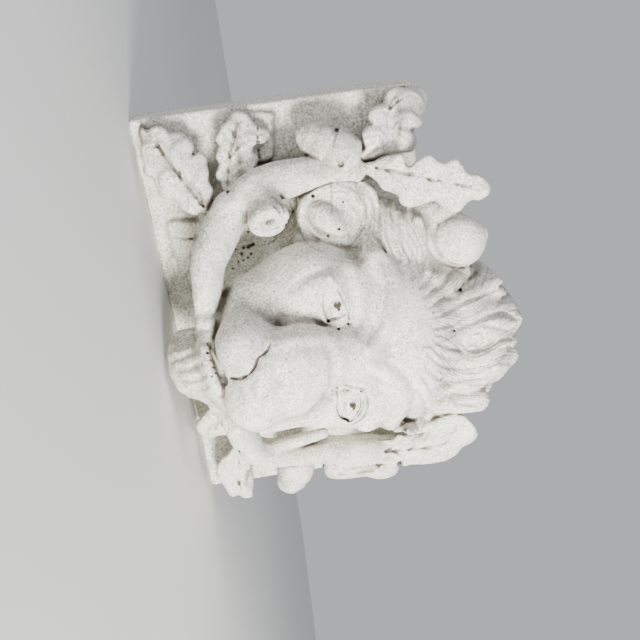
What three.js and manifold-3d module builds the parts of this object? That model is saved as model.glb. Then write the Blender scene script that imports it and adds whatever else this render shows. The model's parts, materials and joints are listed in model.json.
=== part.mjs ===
// Lion head fountain mask: one cast stone block made of a back plate, a lion's head in high relief,
// an oak branch held in its mouth, oak leaves and acorns.
// Millimetres. +Z is up, the face looks along -Y, the flat back of the plate lies on y = 0.
import * as THREE from 'three';
import { mergeVertices } from 'three/addons/utils/BufferGeometryUtils.js';
import Module from 'manifold-3d';

const wasm = await Module();
wasm.setup();

// back plate
const PLATE_WIDTH = 460;
const PLATE_HEIGHT = 289;
const PLATE_THICKNESS = 38;
const PLATE_CHAMFER = 5;

// head: its own frame sits between the eyes and is turned towards the viewer's left
const HEAD_ORIGIN = new THREE.Vector3(-6, -178, 29);
const HEAD_TURN = THREE.MathUtils.degToRad(-14);
const EYE_SPACING = 100;
const EYE_RADIUS = 21;
const PUPIL_DIAMETER = 7;
const BLEND = 13;
const MANE_CENTRE = new THREE.Vector3(10, -50, 90);

const CURL_BOSS = [34, 24, 36];
const CURL_LUMP_RADIUS = 10;
const LEFT_EAR_RADII = [28, 25, 30];
const RIGHT_EAR_HALF_WIDTH = 13;
const JAW_RADIUS = 9;
const LIP_GAP_RADIUS = 5;
const NOSTRIL_HALF_WIDTH = 1.8;

// branch
const BRANCH_RADIUS = 19;
const TWIG_RADIUS = 17;
const LEFT_ACORN_RADIUS = 22;
const RIGHT_ACORN_RADIUS = 20;

// leaves
const LEAF_THICKNESS = 13;

// steps of the shrink-wrapped surfaces: around the axis, and from front to back
const FACE_STEPS = [39, 22];
const MANE_STEPS = [20, 11];

const vec = (p) => new THREE.Vector3(p[0], p[1], p[2]);
const FRONT = vec([-0.1, -1, 0.1]).normalize();

// a point given in the frame of the head, in the frame of the block, and back
function fromHead(p) {
  return vec(p).applyAxisAngle(new THREE.Vector3(0, 0, 1), HEAD_TURN).add(HEAD_ORIGIN);
}
function toHead(p) {
  return p.clone().sub(HEAD_ORIGIN).applyAxisAngle(new THREE.Vector3(0, 0, 1), -HEAD_TURN);
}

function solid(geometry) {
  geometry.deleteAttribute('normal');
  geometry.deleteAttribute('uv');
  const merged = mergeVertices(geometry, 1e-4);
  const mesh = new wasm.Mesh({
    numProp: 3,
    vertProperties: new Float32Array(merged.attributes.position.array),
    triVerts: new Uint32Array(merged.index.array),
  });
  mesh.merge();
  return new wasm.Manifold(mesh);
}

// moves every vertex of a geometry by a function of its position
function reshape(geometry, move) {
  const position = geometry.attributes.position;
  const p = new THREE.Vector3();
  for (let i = 0; i < position.count; i += 1) {
    p.fromBufferAttribute(position, i);
    const q = move(p);
    position.setXYZ(i, q.x, q.y, q.z);
  }
  return geometry;
}

// Clay: ellipsoids that melt into each other. Each has a centre and three radii; the masses of the
// face are in the frame of the head, the masses of the mane in the frame of the block.
const CENTRE_MASSES = [
  { at: [0, 66, 24], radii: [98, 70, 90] },
  { at: [0, 44, 60], radii: [82, 52, 58] },
  { at: [0, 6, 4], radii: [27, 28, 36] },
  { at: [0, -6, -34], radii: [31, 30, 38] },
  { at: [5, -10, -54], radii: [43, 32, 34] },
  { at: [0, -20, -78], radii: [30, 26, 17] },
  { at: [0, 30, -92], radii: [66, 60, 29] },
  { at: [-6, 56, -112], radii: [44, 38, 32] },
];
const PAIRED_MASSES = [
  { at: [26, -6, -88], radii: [28, 32, 28] },
  { at: [18, -10, -72], radii: [15, 24, 15] },
  { at: [54, 17, 18], radii: [32, 16, 20] },
  { at: [36, 13, 42], radii: [27, 19, 12] },
];
// the two cheeks differ: the left one is broader
const CHEEK_MASSES = [
  { at: [-60, 44, -22], radii: [50, 46, 58] },
  { at: [44, 44, -18], radii: [38, 44, 52] },
  { at: [-50, 48, -74], radii: [40, 44, 44] },
  { at: [44, 40, -74], radii: [32, 44, 44] },
  { at: [-56, 14, -32], radii: [24, 16, 20] },
  { at: [50, 14, -32], radii: [20, 16, 20] },
  { at: [-66, 26, 42], radii: [34, 22, 14] },
  { at: [62, 26, 42], radii: [30, 22, 15] },
];
const FACE_MASSES = CENTRE_MASSES.concat(
  CHEEK_MASSES,
  PAIRED_MASSES,
  PAIRED_MASSES.map(({ at: [x, y, z], radii }) => ({ at: [-x, y, z], radii })),
);

const MANE_MASSES = [
  { at: [18, -84, 142], radii: [58, 52, 80] },
  { at: [44, -96, 134], radii: [46, 50, 66] },
  { at: [16, -112, 120], radii: [66, 48, 48] },
  { at: [42, -92, 178], radii: [42, 38, 46] },
  { at: [64, -104, 156], radii: [34, 36, 44] },
  { at: [-62, -84, 130], radii: [44, 34, 30] },
  { at: [-56, -76, 92], radii: [68, 52, 54] },
  { at: [72, -96, 92], radii: [52, 56, 62] },
  { at: [-92, -52, 46], radii: [46, 44, 46] },
  { at: [98, -70, 30], radii: [42, 46, 58] },
  { at: [0, -40, 20], radii: [112, 60, 112] },
];

function ellipsoid(p, mass) {
  const [cx, cy, cz] = mass.at;
  const [rx, ry, rz] = mass.radii;
  const x = p.x - cx;
  const y = p.y - cy;
  const z = p.z - cz;
  const near = Math.hypot(x / rx, y / ry, z / rz);
  const slope = Math.hypot(x / (rx * rx), y / (ry * ry), z / (rz * rz));
  return slope > 0 ? near * (near - 1) / slope : -Math.min(rx, ry, rz);
}

// lowest of the distances to the masses, rounded where two of them meet
function clay(p, masses, width) {
  let field = 1e3;
  for (const mass of masses) {
    const distance = ellipsoid(p, mass);
    const overlap = Math.max(width - Math.abs(field - distance), 0) / width;
    field = Math.min(field, distance) - overlap * overlap * width / 4;
  }
  return field;
}

// the point where a ray from the centre leaves the clay
function surface(field, centre, ray) {
  const at = (r) => ray.clone().multiplyScalar(r).add(centre);
  let outer = 290;
  while (outer > 4 && field(at(outer)) > 0) outer -= 4;
  let inner = outer;
  outer += 4;
  for (let i = 0; i < 12; i += 1) {
    const middle = (inner + outer) / 2;
    if (field(at(middle)) > 0) outer = middle;
    else inner = middle;
  }
  return at(inner);
}

// a direction given by its angle from the front and its turn, clockwise from upright
function direction(polar, turn) {
  return vec([Math.sin(polar) * Math.sin(turn), -Math.cos(polar), Math.sin(polar) * Math.cos(turn)]);
}

// A sphere whose poles point to the front and the back, shrunk onto the clay along its rays. Its rings
// are closer together at the front, where the carving is.
function wrapped(field, centre, [around, rings], crowding) {
  const sphere = new THREE.SphereGeometry(1, around, rings);
  return reshape(sphere, (p) => {
    const polar = Math.PI * (Math.acos(THREE.MathUtils.clamp(p.y, -1, 1)) / Math.PI) ** crowding;
    return surface(field, centre, direction(polar, Math.atan2(p.x, -p.z)));
  });
}

// A sphere drawn out along a curve: the rounded body of a lock of hair, a branch or a lid.
// "breadth" and "height" give its half sizes across at 0..1 along the curve; "out" is the side that
// the height points to.
function drawn(points, breadth, height, out, around, along) {
  const curve = new THREE.CatmullRomCurve3(points, false, 'centripetal');
  const sphere = new THREE.SphereGeometry(1, around, along);
  return reshape(sphere, (p) => {
    const t = Math.acos(THREE.MathUtils.clamp(p.y, -1, 1)) / Math.PI;
    const round = Math.hypot(p.x, p.z);
    const cap = round > 1e-6 ? Math.min(1, 2.2 * Math.sin(Math.PI * t)) ** 0.6 / round : 0;
    const tangent = curve.getTangent(t);
    const side = new THREE.Vector3().crossVectors(out, tangent).normalize();
    const up = new THREE.Vector3().crossVectors(tangent, side);
    return curve.getPoint(t)
      .addScaledVector(side, p.x * cap * breadth(t))
      .addScaledVector(up, p.z * cap * height(t));
  });
}

// A lock of hair swells in its middle and thins out to both ends.
function lock(points, width, out) {
  const breadth = (t) => width / 2 * (0.35 + 0.65 * Math.sin(Math.PI * (0.08 + 0.84 * t)));
  const height = (t) => 0.75 * breadth(t);
  return solid(drawn(points, breadth, height, out, 5, 6));
}

// Oak leaf along a bent midrib. Rounded lobes stand on each side and lean towards the tip; the crown
// lifts the midrib above the margins. A leaf that lies over the plate stands on a keel under its midrib.
function oakLeaf({ rib, across, width, lobes, crown, columns = 2, keel = false }) {
  const curve = new THREE.CatmullRomCurve3(rib.map(vec), false, 'centripetal');
  const side = vec(across).normalize();
  if (side.clone().cross(curve.getTangent(0.5)).dot(FRONT) < 0) side.negate();
  const box = new THREE.BoxGeometry(2, 1, 1, columns, 1, 4 * lobes);
  return solid(reshape(box, (p) => {
    const s = p.z + 0.5;
    const w = p.x;
    const body = Math.sin(Math.PI * (0.05 + 0.87 * s)) ** 0.6;
    const lobe = Math.abs(Math.sin(Math.PI * s * lobes)) ** 0.7;
    const half = width / 2 * (0.1 + body * (0.5 + 0.4 * lobe));
    const t = THREE.MathUtils.clamp(s + 0.12 * Math.abs(w) * Math.sin(Math.PI * s), 0, 1);
    const tangent = curve.getTangent(t);
    const normal = new THREE.Vector3().crossVectors(side, tangent).normalize();
    const level = new THREE.Vector3().crossVectors(normal, tangent);
    const drop = crown * w * w * (0.3 + 0.7 * Math.sin(Math.PI * s));
    const q = curve.getPoint(t)
      .addScaledVector(level, w * half)
      .addScaledVector(normal, (p.y - 0.5) * LEAF_THICKNESS - drop);
    if (keel && p.y < 0 && Math.abs(w) < 0.01) q.y = 6 - PLATE_THICKNESS;
    return q;
  }));
}

// turns a geometry that stands upright on the origin so that it stands on a point along an axis
function stand(geometry, foot, axis) {
  const upright = new THREE.Vector3(0, 1, 0);
  geometry.applyQuaternion(new THREE.Quaternion().setFromUnitVectors(upright, axis.clone().normalize()));
  return geometry.translate(foot.x, foot.y, foot.z);
}

// an ellipsoid of stone
function boss(centre, radii, around, rings) {
  const sphere = new THREE.SphereGeometry(1, around, rings);
  return solid(sphere.scale(...radii).translate(...centre));
}

// Acorn turned on its axis: nut with a pointed tip, cup with a raised rim, stalk into the branch.
function acorn(stalk, tip, radius) {
  const from = vec(stalk);
  const axis = vec(tip).sub(from);
  const length = axis.length();
  const profile = [
    [0, 0],
    [0.5 * radius, 0],
    [0.98 * radius, 0.12 * length],
    [1.12 * radius, 0.32 * length],
    [1.08 * radius, 0.45 * length],
    [0.96 * radius, 0.47 * length],
    [0.93 * radius, 0.62 * length],
    [0.72 * radius, 0.8 * length],
    [0.36 * radius, 0.94 * length],
    [0, length],
  ].map(([r, h]) => new THREE.Vector2(r, h));
  const turned = new THREE.LatheGeometry(profile, 10);
  return solid(stand(turned, from, axis));
}

// plate: a rectangle with chamfered front edges
const plateOutline = new THREE.Shape();
const halfWidth = PLATE_WIDTH / 2 - PLATE_CHAMFER;
const halfHeight = PLATE_HEIGHT / 2 - PLATE_CHAMFER;
plateOutline.moveTo(-halfWidth, -halfHeight);
plateOutline.lineTo(halfWidth, -halfHeight);
plateOutline.lineTo(halfWidth, halfHeight);
plateOutline.lineTo(-halfWidth, halfHeight);
plateOutline.closePath();
const plateGeometry = new THREE.ExtrudeGeometry(plateOutline, {
  depth: PLATE_THICKNESS - 2 * PLATE_CHAMFER,
  bevelThickness: PLATE_CHAMFER,
  bevelSize: PLATE_CHAMFER,
  bevelSegments: 1,
});
plateGeometry.translate(0, 0, PLATE_CHAMFER);
plateGeometry.rotateX(Math.PI / 2);
let block = solid(plateGeometry);

function add(piece) {
  block = block.add(piece);
}

// head: the face in its turned frame, and the mane behind it
const faceField = (p) => clay(p, FACE_MASSES, BLEND);
const maneField = (p) => clay(p, MANE_MASSES, 2 * BLEND);
const face = wrapped(faceField, vec([0, 88, -16]), FACE_STEPS, 1.35);
face.rotateZ(HEAD_TURN);
face.translate(HEAD_ORIGIN.x, HEAD_ORIGIN.y, HEAD_ORIGIN.z);
add(solid(face));
add(solid(wrapped(maneField, MANE_CENTRE, MANE_STEPS, 1.1)));

// rough ground left standing between the plate, the head and the branch
add(boss([-78, -36, -22], [92, 30, 84], 10, 6));

// low rough pad on the plate behind the leaf at the left side
const PAD = [54, 14, 34];
add(solid(new THREE.BoxGeometry(...PAD).translate(-202, -PLATE_THICKNESS, -14)));

// Locks of the mane lie on the clay and fan out from the forehead: each row from one angle from the front
// to another, swinging to one side at the tips.
const headField = (p) => Math.min(faceField(toHead(p)), maneField(p));
function fan({ count, turns, from, to, width, swing }) {
  for (let i = 0; i < count; i += 1) {
    const turn = turns[0] + (turns[1] - turns[0]) * i / (count - 1);
    const path = [0, 0.33, 0.67, 1].map((t) => {
      const ray = direction(
        THREE.MathUtils.degToRad(from + (to - from) * t),
        THREE.MathUtils.degToRad(turn + swing * t * t),
      );
      return surface(headField, MANE_CENTRE, ray).addScaledVector(ray, -0.15 * width);
    });
    const out = direction(THREE.MathUtils.degToRad((from + to) / 2), THREE.MathUtils.degToRad(turn));
    add(lock(path, width, out));
  }
}
fan({ count: 8, turns: [-80, 76], from: 15, to: 50, width: 26, swing: -9 });
fan({ count: 7, turns: [-58, 62], from: 40, to: 74, width: 34, swing: 10 });
fan({ count: 5, turns: [-34, 40], from: 64, to: 98, width: 38, swing: -8 });

// side locks: from the temples outwards
const SIDE_LOCKS = [
  { path: [[-62, -142, 108], [-88, -126, 112], [-124, -98, 108]], width: 20 },
  { path: [[-64, -140, 90], [-92, -122, 90], [-128, -92, 86]], width: 20 },
  { path: [[-70, -134, 70], [-96, -116, 70], [-126, -88, 64]], width: 18 },
  { path: [[80, -158, 86], [102, -144, 70], [112, -128, 40]], width: 20 },
  { path: [[88, -150, 60], [106, -136, 36], [108, -124, 8]], width: 18 },
  { path: [[90, -142, 96], [108, -124, 94], [122, -104, 78]], width: 22 },
];
for (const { path, width } of SIDE_LOCKS) add(lock(path.map(vec), width, FRONT));

const even = (size) => () => size;

// curl beside the left cheek: a boss with a crescent hollow, and a lump that rises out of it
const curlHollow = [[-128, -108, 68], [-140, -106, 52], [-142, -106, 34]].map(vec);
const curlLump = [[-112, -104, 62], [-124, -110, 46], [-134, -106, 28]].map(vec);
add(boss([-121, -86, 44], CURL_BOSS, 12, 8));
block = block.subtract(solid(drawn(curlHollow, even(8), even(6), FRONT, 6, 8)));
add(solid(drawn(curlLump, even(CURL_LUMP_RADIUS), even(0.8 * CURL_LUMP_RADIUS), FRONT, 7, 8)));

// ears: a round boss in a cup on the left, an upright finger on the right
const leftEar = [-75, -97, 168.5];
const earCorner = [leftEar, [-80, -98, 199]].map(vec);
const earCup = [[-44, -98, 174], [-50, -98, 154], [-66, -98, 136], [-86, -98, 132], [-104, -98, 130]]
  .map(vec);
const rightEar = [[83, -144, 116], [87, -146, 150], [90, -146, 184]].map(vec);
add(boss(leftEar, LEFT_EAR_RADII, 12, 9));
add(solid(drawn(earCorner, (t) => 22 - 15 * t, (t) => 18 - 11 * t, FRONT, 7, 4)));
add(solid(drawn(earCup, even(7), even(7), FRONT, 6, 8)));
add(solid(drawn(rightEar, even(RIGHT_EAR_HALF_WIDTH), even(15), FRONT, 7, 6)));

// eyes: ball, upper and lower lid
for (const side of [-1, 1]) {
  const eye = new THREE.SphereGeometry(EYE_RADIUS, 11, 8);
  const centre = fromHead([side * EYE_SPACING / 2, EYE_RADIUS - 2, 0]);
  eye.translate(centre.x, centre.y, centre.z);
  add(solid(eye));
  const lid = (height, depth) => [[-26, 9, -6], [-10, depth, height], [8, depth, height], [24, 6, -2]]
    .map(([x, y, z]) => fromHead([side * (EYE_SPACING / 2 - x), y, z]));
  add(solid(drawn(lid(11, -5), even(3), even(4), FRONT, 5, 8)));
  add(solid(drawn(lid(-10, -2), even(2.5), even(3), FRONT, 5, 8)));
  const pupil = new THREE.CylinderGeometry(PUPIL_DIAMETER / 2, PUPIL_DIAMETER / 2, 12, 8);
  pupil.rotateX(Math.PI / 2);
  pupil.translate(centre.x, centre.y - EYE_RADIUS, centre.z + 2);
  block = block.subtract(solid(pupil));
}

// nostrils: a slit on each side of the nose that runs down into the cleft of the lip
for (const side of [-1, 1]) {
  const slit = [[30, -26, -66], [25, -40, -76], [12, -46, -86], [2, -42, -98], [1, -34, -112]]
    .map(([x, y, z]) => fromHead([side * x, y, z]));
  block = block.subtract(solid(drawn(slit, even(NOSTRIL_HALF_WIDTH), even(7), FRONT, 4, 9)));
}

// mouth: the gap under the lips, the lower jaw and the tuft of beard that hangs from it
const gap = [[-34, 12, -117], [2, -6, -112], [38, 12, -114]].map(fromHead);
const jaw = [[-54, 28, -119], [-26, 3, -127], [4, -4, -125], [36, 16, -115]].map(fromHead);
const BEARD = [[-34, 30, 12], [-20, 16, 13], [-3, 12, 13], [14, 14, 12], [26, 22, 9]];
block = block.subtract(solid(drawn(gap, even(LIP_GAP_RADIUS), even(28), FRONT, 8, 8)));
add(solid(drawn(jaw, even(JAW_RADIUS), even(12), FRONT, 8, 10)));
for (const [x, y, radius] of BEARD) {
  const tuft = [[x, y, -106], [0.94 * x - 1, y + 8, -138], [0.84 * x - 2, y + 18, -168]].map(fromHead);
  add(solid(drawn(tuft, even(radius), even(1.3 * radius), FRONT, 5, 6)));
}

// branch: one run on each side from the corner of the mouth, round a bend and up to the leaves
const LEFT_RUN = [
  [-40, -146, -97],
  [-79, -140, -89],
  [-102, -127, -84],
  [-119, -114, -73],
  [-136, -103, -60],
  [-150, -99, -44],
  [-159, -96, -23],
  [-163, -94, -2],
  [-164, -90, 36],
  [-159, -88, 82],
];
const RIGHT_RUN = [
  [20, -150, -100],
  [58, -146, -89],
  [98, -128, -83],
  [130, -112, -79],
  [146, -102, -62],
  [154, -97, -26],
  [163, -94, 21],
  [178, -90, 82],
];
add(solid(drawn(LEFT_RUN.map(vec), even(BRANCH_RADIUS), even(BRANCH_RADIUS), FRONT, 8, 15)));
add(solid(drawn(RIGHT_RUN.map(vec), even(0.85 * BRANCH_RADIUS), even(BRANCH_RADIUS), FRONT, 7, 11)));

// web of stone that ties the left run back to the plate
const back = LEFT_RUN.slice(2).map(([x, y, z]) => vec([x, y / 2 - 10, z]));
add(solid(drawn(back, even(8), even(34), FRONT, 5, 6)));

// cut twig: a short stub with a ring round a sunken heart
const twigFrom = vec([-156, -96, -26]);
const twigTo = vec([-131, -130, -20]);
const twigLength = twigFrom.distanceTo(twigTo);
const twig = new THREE.LatheGeometry([
  new THREE.Vector2(0, 0),
  new THREE.Vector2(TWIG_RADIUS, 0),
  new THREE.Vector2(0.9 * TWIG_RADIUS, 0.6 * twigLength),
  new THREE.Vector2(TWIG_RADIUS, 0.86 * twigLength),
  new THREE.Vector2(0.8 * TWIG_RADIUS, twigLength),
  new THREE.Vector2(0.4 * TWIG_RADIUS, 0.97 * twigLength),
  new THREE.Vector2(0.25 * TWIG_RADIUS, 0.8 * twigLength),
  new THREE.Vector2(0, 0.8 * twigLength),
], 12);
add(solid(stand(twig, twigFrom, twigTo.clone().sub(twigFrom))));

add(acorn([-166, -88, 74], [-204, -70, 18], LEFT_ACORN_RADIUS));
add(acorn([166, -90, -24], [232, -66, -51], RIGHT_ACORN_RADIUS));

const LEAVES = [
  // left: upright, top corner, side, bottom corner, small one under the branch
  {
    rib: [[-157, -86, 70], [-144, -112, 112], [-135, -138, 186]],
    across: [1, 0, 0], width: 52, lobes: 4, crown: 8, columns: 4,
  },
  {
    rib: [[-164, -84, 72], [-177, -86, 106], [-202, -78, 122], [-227, -60, 122]],
    across: [0.3, 0, 1], width: 80, lobes: 3, crown: 12, columns: 4, keel: true,
  },
  {
    rib: [[-144, -94, -54], [-178, -82, -42], [-206, -70, -32], [-226, -56, -26]],
    across: [0.1, -0.1, 1], width: 66, lobes: 3, crown: 10, columns: 4, keel: true,
  },
  {
    rib: [[-132, -100, -70], [-164, -92, -94], [-188, -82, -110], [-214, -62, -124]],
    across: [0.5, 0, -1], width: 70, lobes: 3, crown: 14, columns: 4, keel: true,
  },
  {
    rib: [[-112, -66, -82], [-106, -48, -104], [-98, -44, -126]],
    across: [1, 0, 0.3], width: 44, lobes: 2, crown: 3,
  },
  // right: upright, hanging at the edge, beside the cheek, bottom corner, under the branch
  {
    rib: [[178, -92, 66], [176, -112, 112], [142, -136, 176]],
    across: [1, 0.5, 0], width: 78, lobes: 4, crown: 14,
  },
  {
    rib: [[186, -86, 90], [212, -80, 56], [220, -70, 25], [220, -58, -2]],
    across: [1, 0.2, 0.2], width: 52, lobes: 3, crown: 8, keel: true,
  },
  {
    rib: [[138, -112, -78], [126, -128, -40], [112, -138, 2]],
    across: [1, -0.4, 0], width: 36, lobes: 2, crown: 6,
  },
  {
    rib: [[138, -104, -72], [184, -86, -94], [232, -62, -100]],
    across: [0.1, 0.2, 1], width: 60, lobes: 3, crown: 12, keel: true,
  },
  {
    rib: [[66, -136, -86], [80, -120, -104], [90, -102, -130]],
    across: [1, 0.4, 0], width: 52, lobes: 2, crown: 8,
  },
];
for (const leaf of LEAVES) add(oakLeaf(leaf));

// nothing stands behind the wall face
block = block.trimByPlane([0, -1, 0], 0);

// locks that cross each other close off small pockets inside the stone: only the outer skin is kept
block = block.decompose().reduce((a, b) => (b.volume() > a.volume() ? b : a));

const made = block.getMesh();
const geometry = new THREE.BufferGeometry();
geometry.setAttribute('position', new THREE.BufferAttribute(made.vertProperties, 3));
geometry.setIndex(new THREE.BufferAttribute(made.triVerts, 1));
const mesh = new THREE.Mesh(geometry, new THREE.MeshStandardMaterial({
  color: 0xc9c5b6,
  roughness: 0.95,
  metalness: 0,
}));
mesh.name = 'lion_head_block';

const part = new THREE.Group();
part.name = 'lion_head_fountain_mask';
part.add(mesh);
export default part;
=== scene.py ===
# %% [markdown]
# # Lion head fountain mask
# This is one block of cast stone: a back plate, a lion's head in high relief, an oak branch in its
# mouth, oak leaves and acorns. A mould maker models it in clay and pours it in one go, so the whole
# thing is modelled here as clay too: a grid of distances to which rounded masses are added, and from
# which grooves and drill holes are cut. The same masses in the same places shape the solid that the
# script loads first, and the clay only adds the carving that is too fine for it.

# %% Load the frame
import json
import math
import time

import bmesh
import bpy
import numpy as np
from mathutils import Matrix, Vector

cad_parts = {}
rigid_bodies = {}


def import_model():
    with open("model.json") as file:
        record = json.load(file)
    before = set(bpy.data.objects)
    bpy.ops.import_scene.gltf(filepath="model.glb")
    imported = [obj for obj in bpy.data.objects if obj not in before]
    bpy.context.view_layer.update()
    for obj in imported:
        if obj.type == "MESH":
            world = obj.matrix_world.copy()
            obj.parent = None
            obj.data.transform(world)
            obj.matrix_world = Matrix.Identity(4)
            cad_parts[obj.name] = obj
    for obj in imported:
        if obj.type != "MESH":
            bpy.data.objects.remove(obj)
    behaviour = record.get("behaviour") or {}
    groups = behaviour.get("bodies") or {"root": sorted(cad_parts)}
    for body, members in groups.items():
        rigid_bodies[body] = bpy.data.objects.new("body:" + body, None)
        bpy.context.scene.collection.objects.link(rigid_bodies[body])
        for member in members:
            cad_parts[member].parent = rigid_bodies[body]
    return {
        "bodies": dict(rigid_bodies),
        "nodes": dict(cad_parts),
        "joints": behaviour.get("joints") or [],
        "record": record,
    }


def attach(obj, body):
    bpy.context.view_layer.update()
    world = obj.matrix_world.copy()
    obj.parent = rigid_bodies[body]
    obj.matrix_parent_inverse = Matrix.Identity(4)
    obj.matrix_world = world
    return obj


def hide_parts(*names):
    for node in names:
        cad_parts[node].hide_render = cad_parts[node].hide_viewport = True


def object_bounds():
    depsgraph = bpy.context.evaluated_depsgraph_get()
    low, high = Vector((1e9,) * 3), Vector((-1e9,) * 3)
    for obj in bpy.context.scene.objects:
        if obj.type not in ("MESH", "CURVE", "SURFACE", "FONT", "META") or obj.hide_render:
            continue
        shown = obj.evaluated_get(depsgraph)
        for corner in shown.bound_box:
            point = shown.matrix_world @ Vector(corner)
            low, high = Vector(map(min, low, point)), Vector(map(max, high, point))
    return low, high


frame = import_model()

started = time.time()
cad_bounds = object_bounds()
CAD_LOW, CAD_HIGH = (np.array(corner) * 1000 for corner in cad_bounds)
print("solid, mm:", CAD_LOW.round(1), CAD_HIGH.round(1))

# %% [markdown]
# The camera comes first, because small carving is placed by the pixel where it is seen. The photograph
# was taken with the block lying on its side, so the camera is rolled: what is right in the upright
# picture is down in the frame. EYE is the camera's place in millimetres, and the three directions are
# right, down and forward in the upright picture.

# %% Camera
IMAGE_SIZE = 640
FOCAL_PIXELS = 680
SENSOR_MM = 36
EYE = np.array([-320.0, -752.0, -21.0])
TILT = (-3.0, -25.4, -8.7)


def turn_about(axis, degrees):
    return np.array(Matrix.Rotation(math.radians(degrees), 3, axis))


FRAME_TO_LENS = np.array([[1, 0, 0], [0, 0, -1], [0, 1, 0]])
LENS = turn_about("Z", TILT[2]) @ turn_about("X", TILT[0]) @ turn_about("Y", TILT[1]) @ FRAME_TO_LENS
RIGHT, DOWN, FORWARD = LENS

camera_data = bpy.data.cameras.new("camera")
camera_data.sensor_width = SENSOR_MM
camera_data.lens = FOCAL_PIXELS / IMAGE_SIZE * SENSOR_MM
camera = bpy.data.objects.new("camera", camera_data)
columns = Matrix((-DOWN, -RIGHT, -FORWARD)).transposed()
camera.matrix_world = Matrix.Translation(EYE / 1000) @ columns.to_4x4()
bpy.context.scene.collection.objects.link(camera)
bpy.context.scene.camera = camera
print("lens, mm:", round(camera_data.lens, 2))


def sight(pixels):
    """Directions from the eye through pixels of the upright picture."""
    pixels = np.atleast_2d(pixels).astype(float)
    lens = np.column_stack([(pixels - IMAGE_SIZE / 2) / FOCAL_PIXELS, np.ones(len(pixels))])
    rays = lens @ LENS
    return rays / np.linalg.norm(rays, axis=1, keepdims=True)


def seen(x, y, z):
    """The pixels where points are seen, and how far away they are along the view."""
    x, y, z = x - EYE[0], y - EYE[1], z - EYE[2]
    right, down, away = (x * way[0] + y * way[1] + z * way[2] for way in LENS)
    middle = IMAGE_SIZE / 2
    return middle + FOCAL_PIXELS * right / away, middle + FOCAL_PIXELS * down / away, away


# %% [markdown]
# Clay is a grid of distances: negative inside the stone, positive outside, in millimetres. Adding a
# rounded mass takes the smaller of two distances, with the seam between them filled like a thumbed
# joint; cutting takes the larger of the field and the negative of the tool. Each tool only touches the
# window of the grid that it reaches, which keeps the work short.

# %% The clay
FAR = 40.0
MARGIN = 14.0


def melt(a, b, width):
    """The smaller of two distances, rounded where they are alike."""
    if width <= 0:
        return np.minimum(a, b)
    overlap = np.maximum(width - np.abs(a - b), 0)
    return np.minimum(a, b) - overlap * overlap / (4 * width)


def along(size, shares):
    """A size at each share of a path: one number, or a function of the share."""
    return np.array([size(t) if callable(size) else size for t in shares], float)


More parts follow.
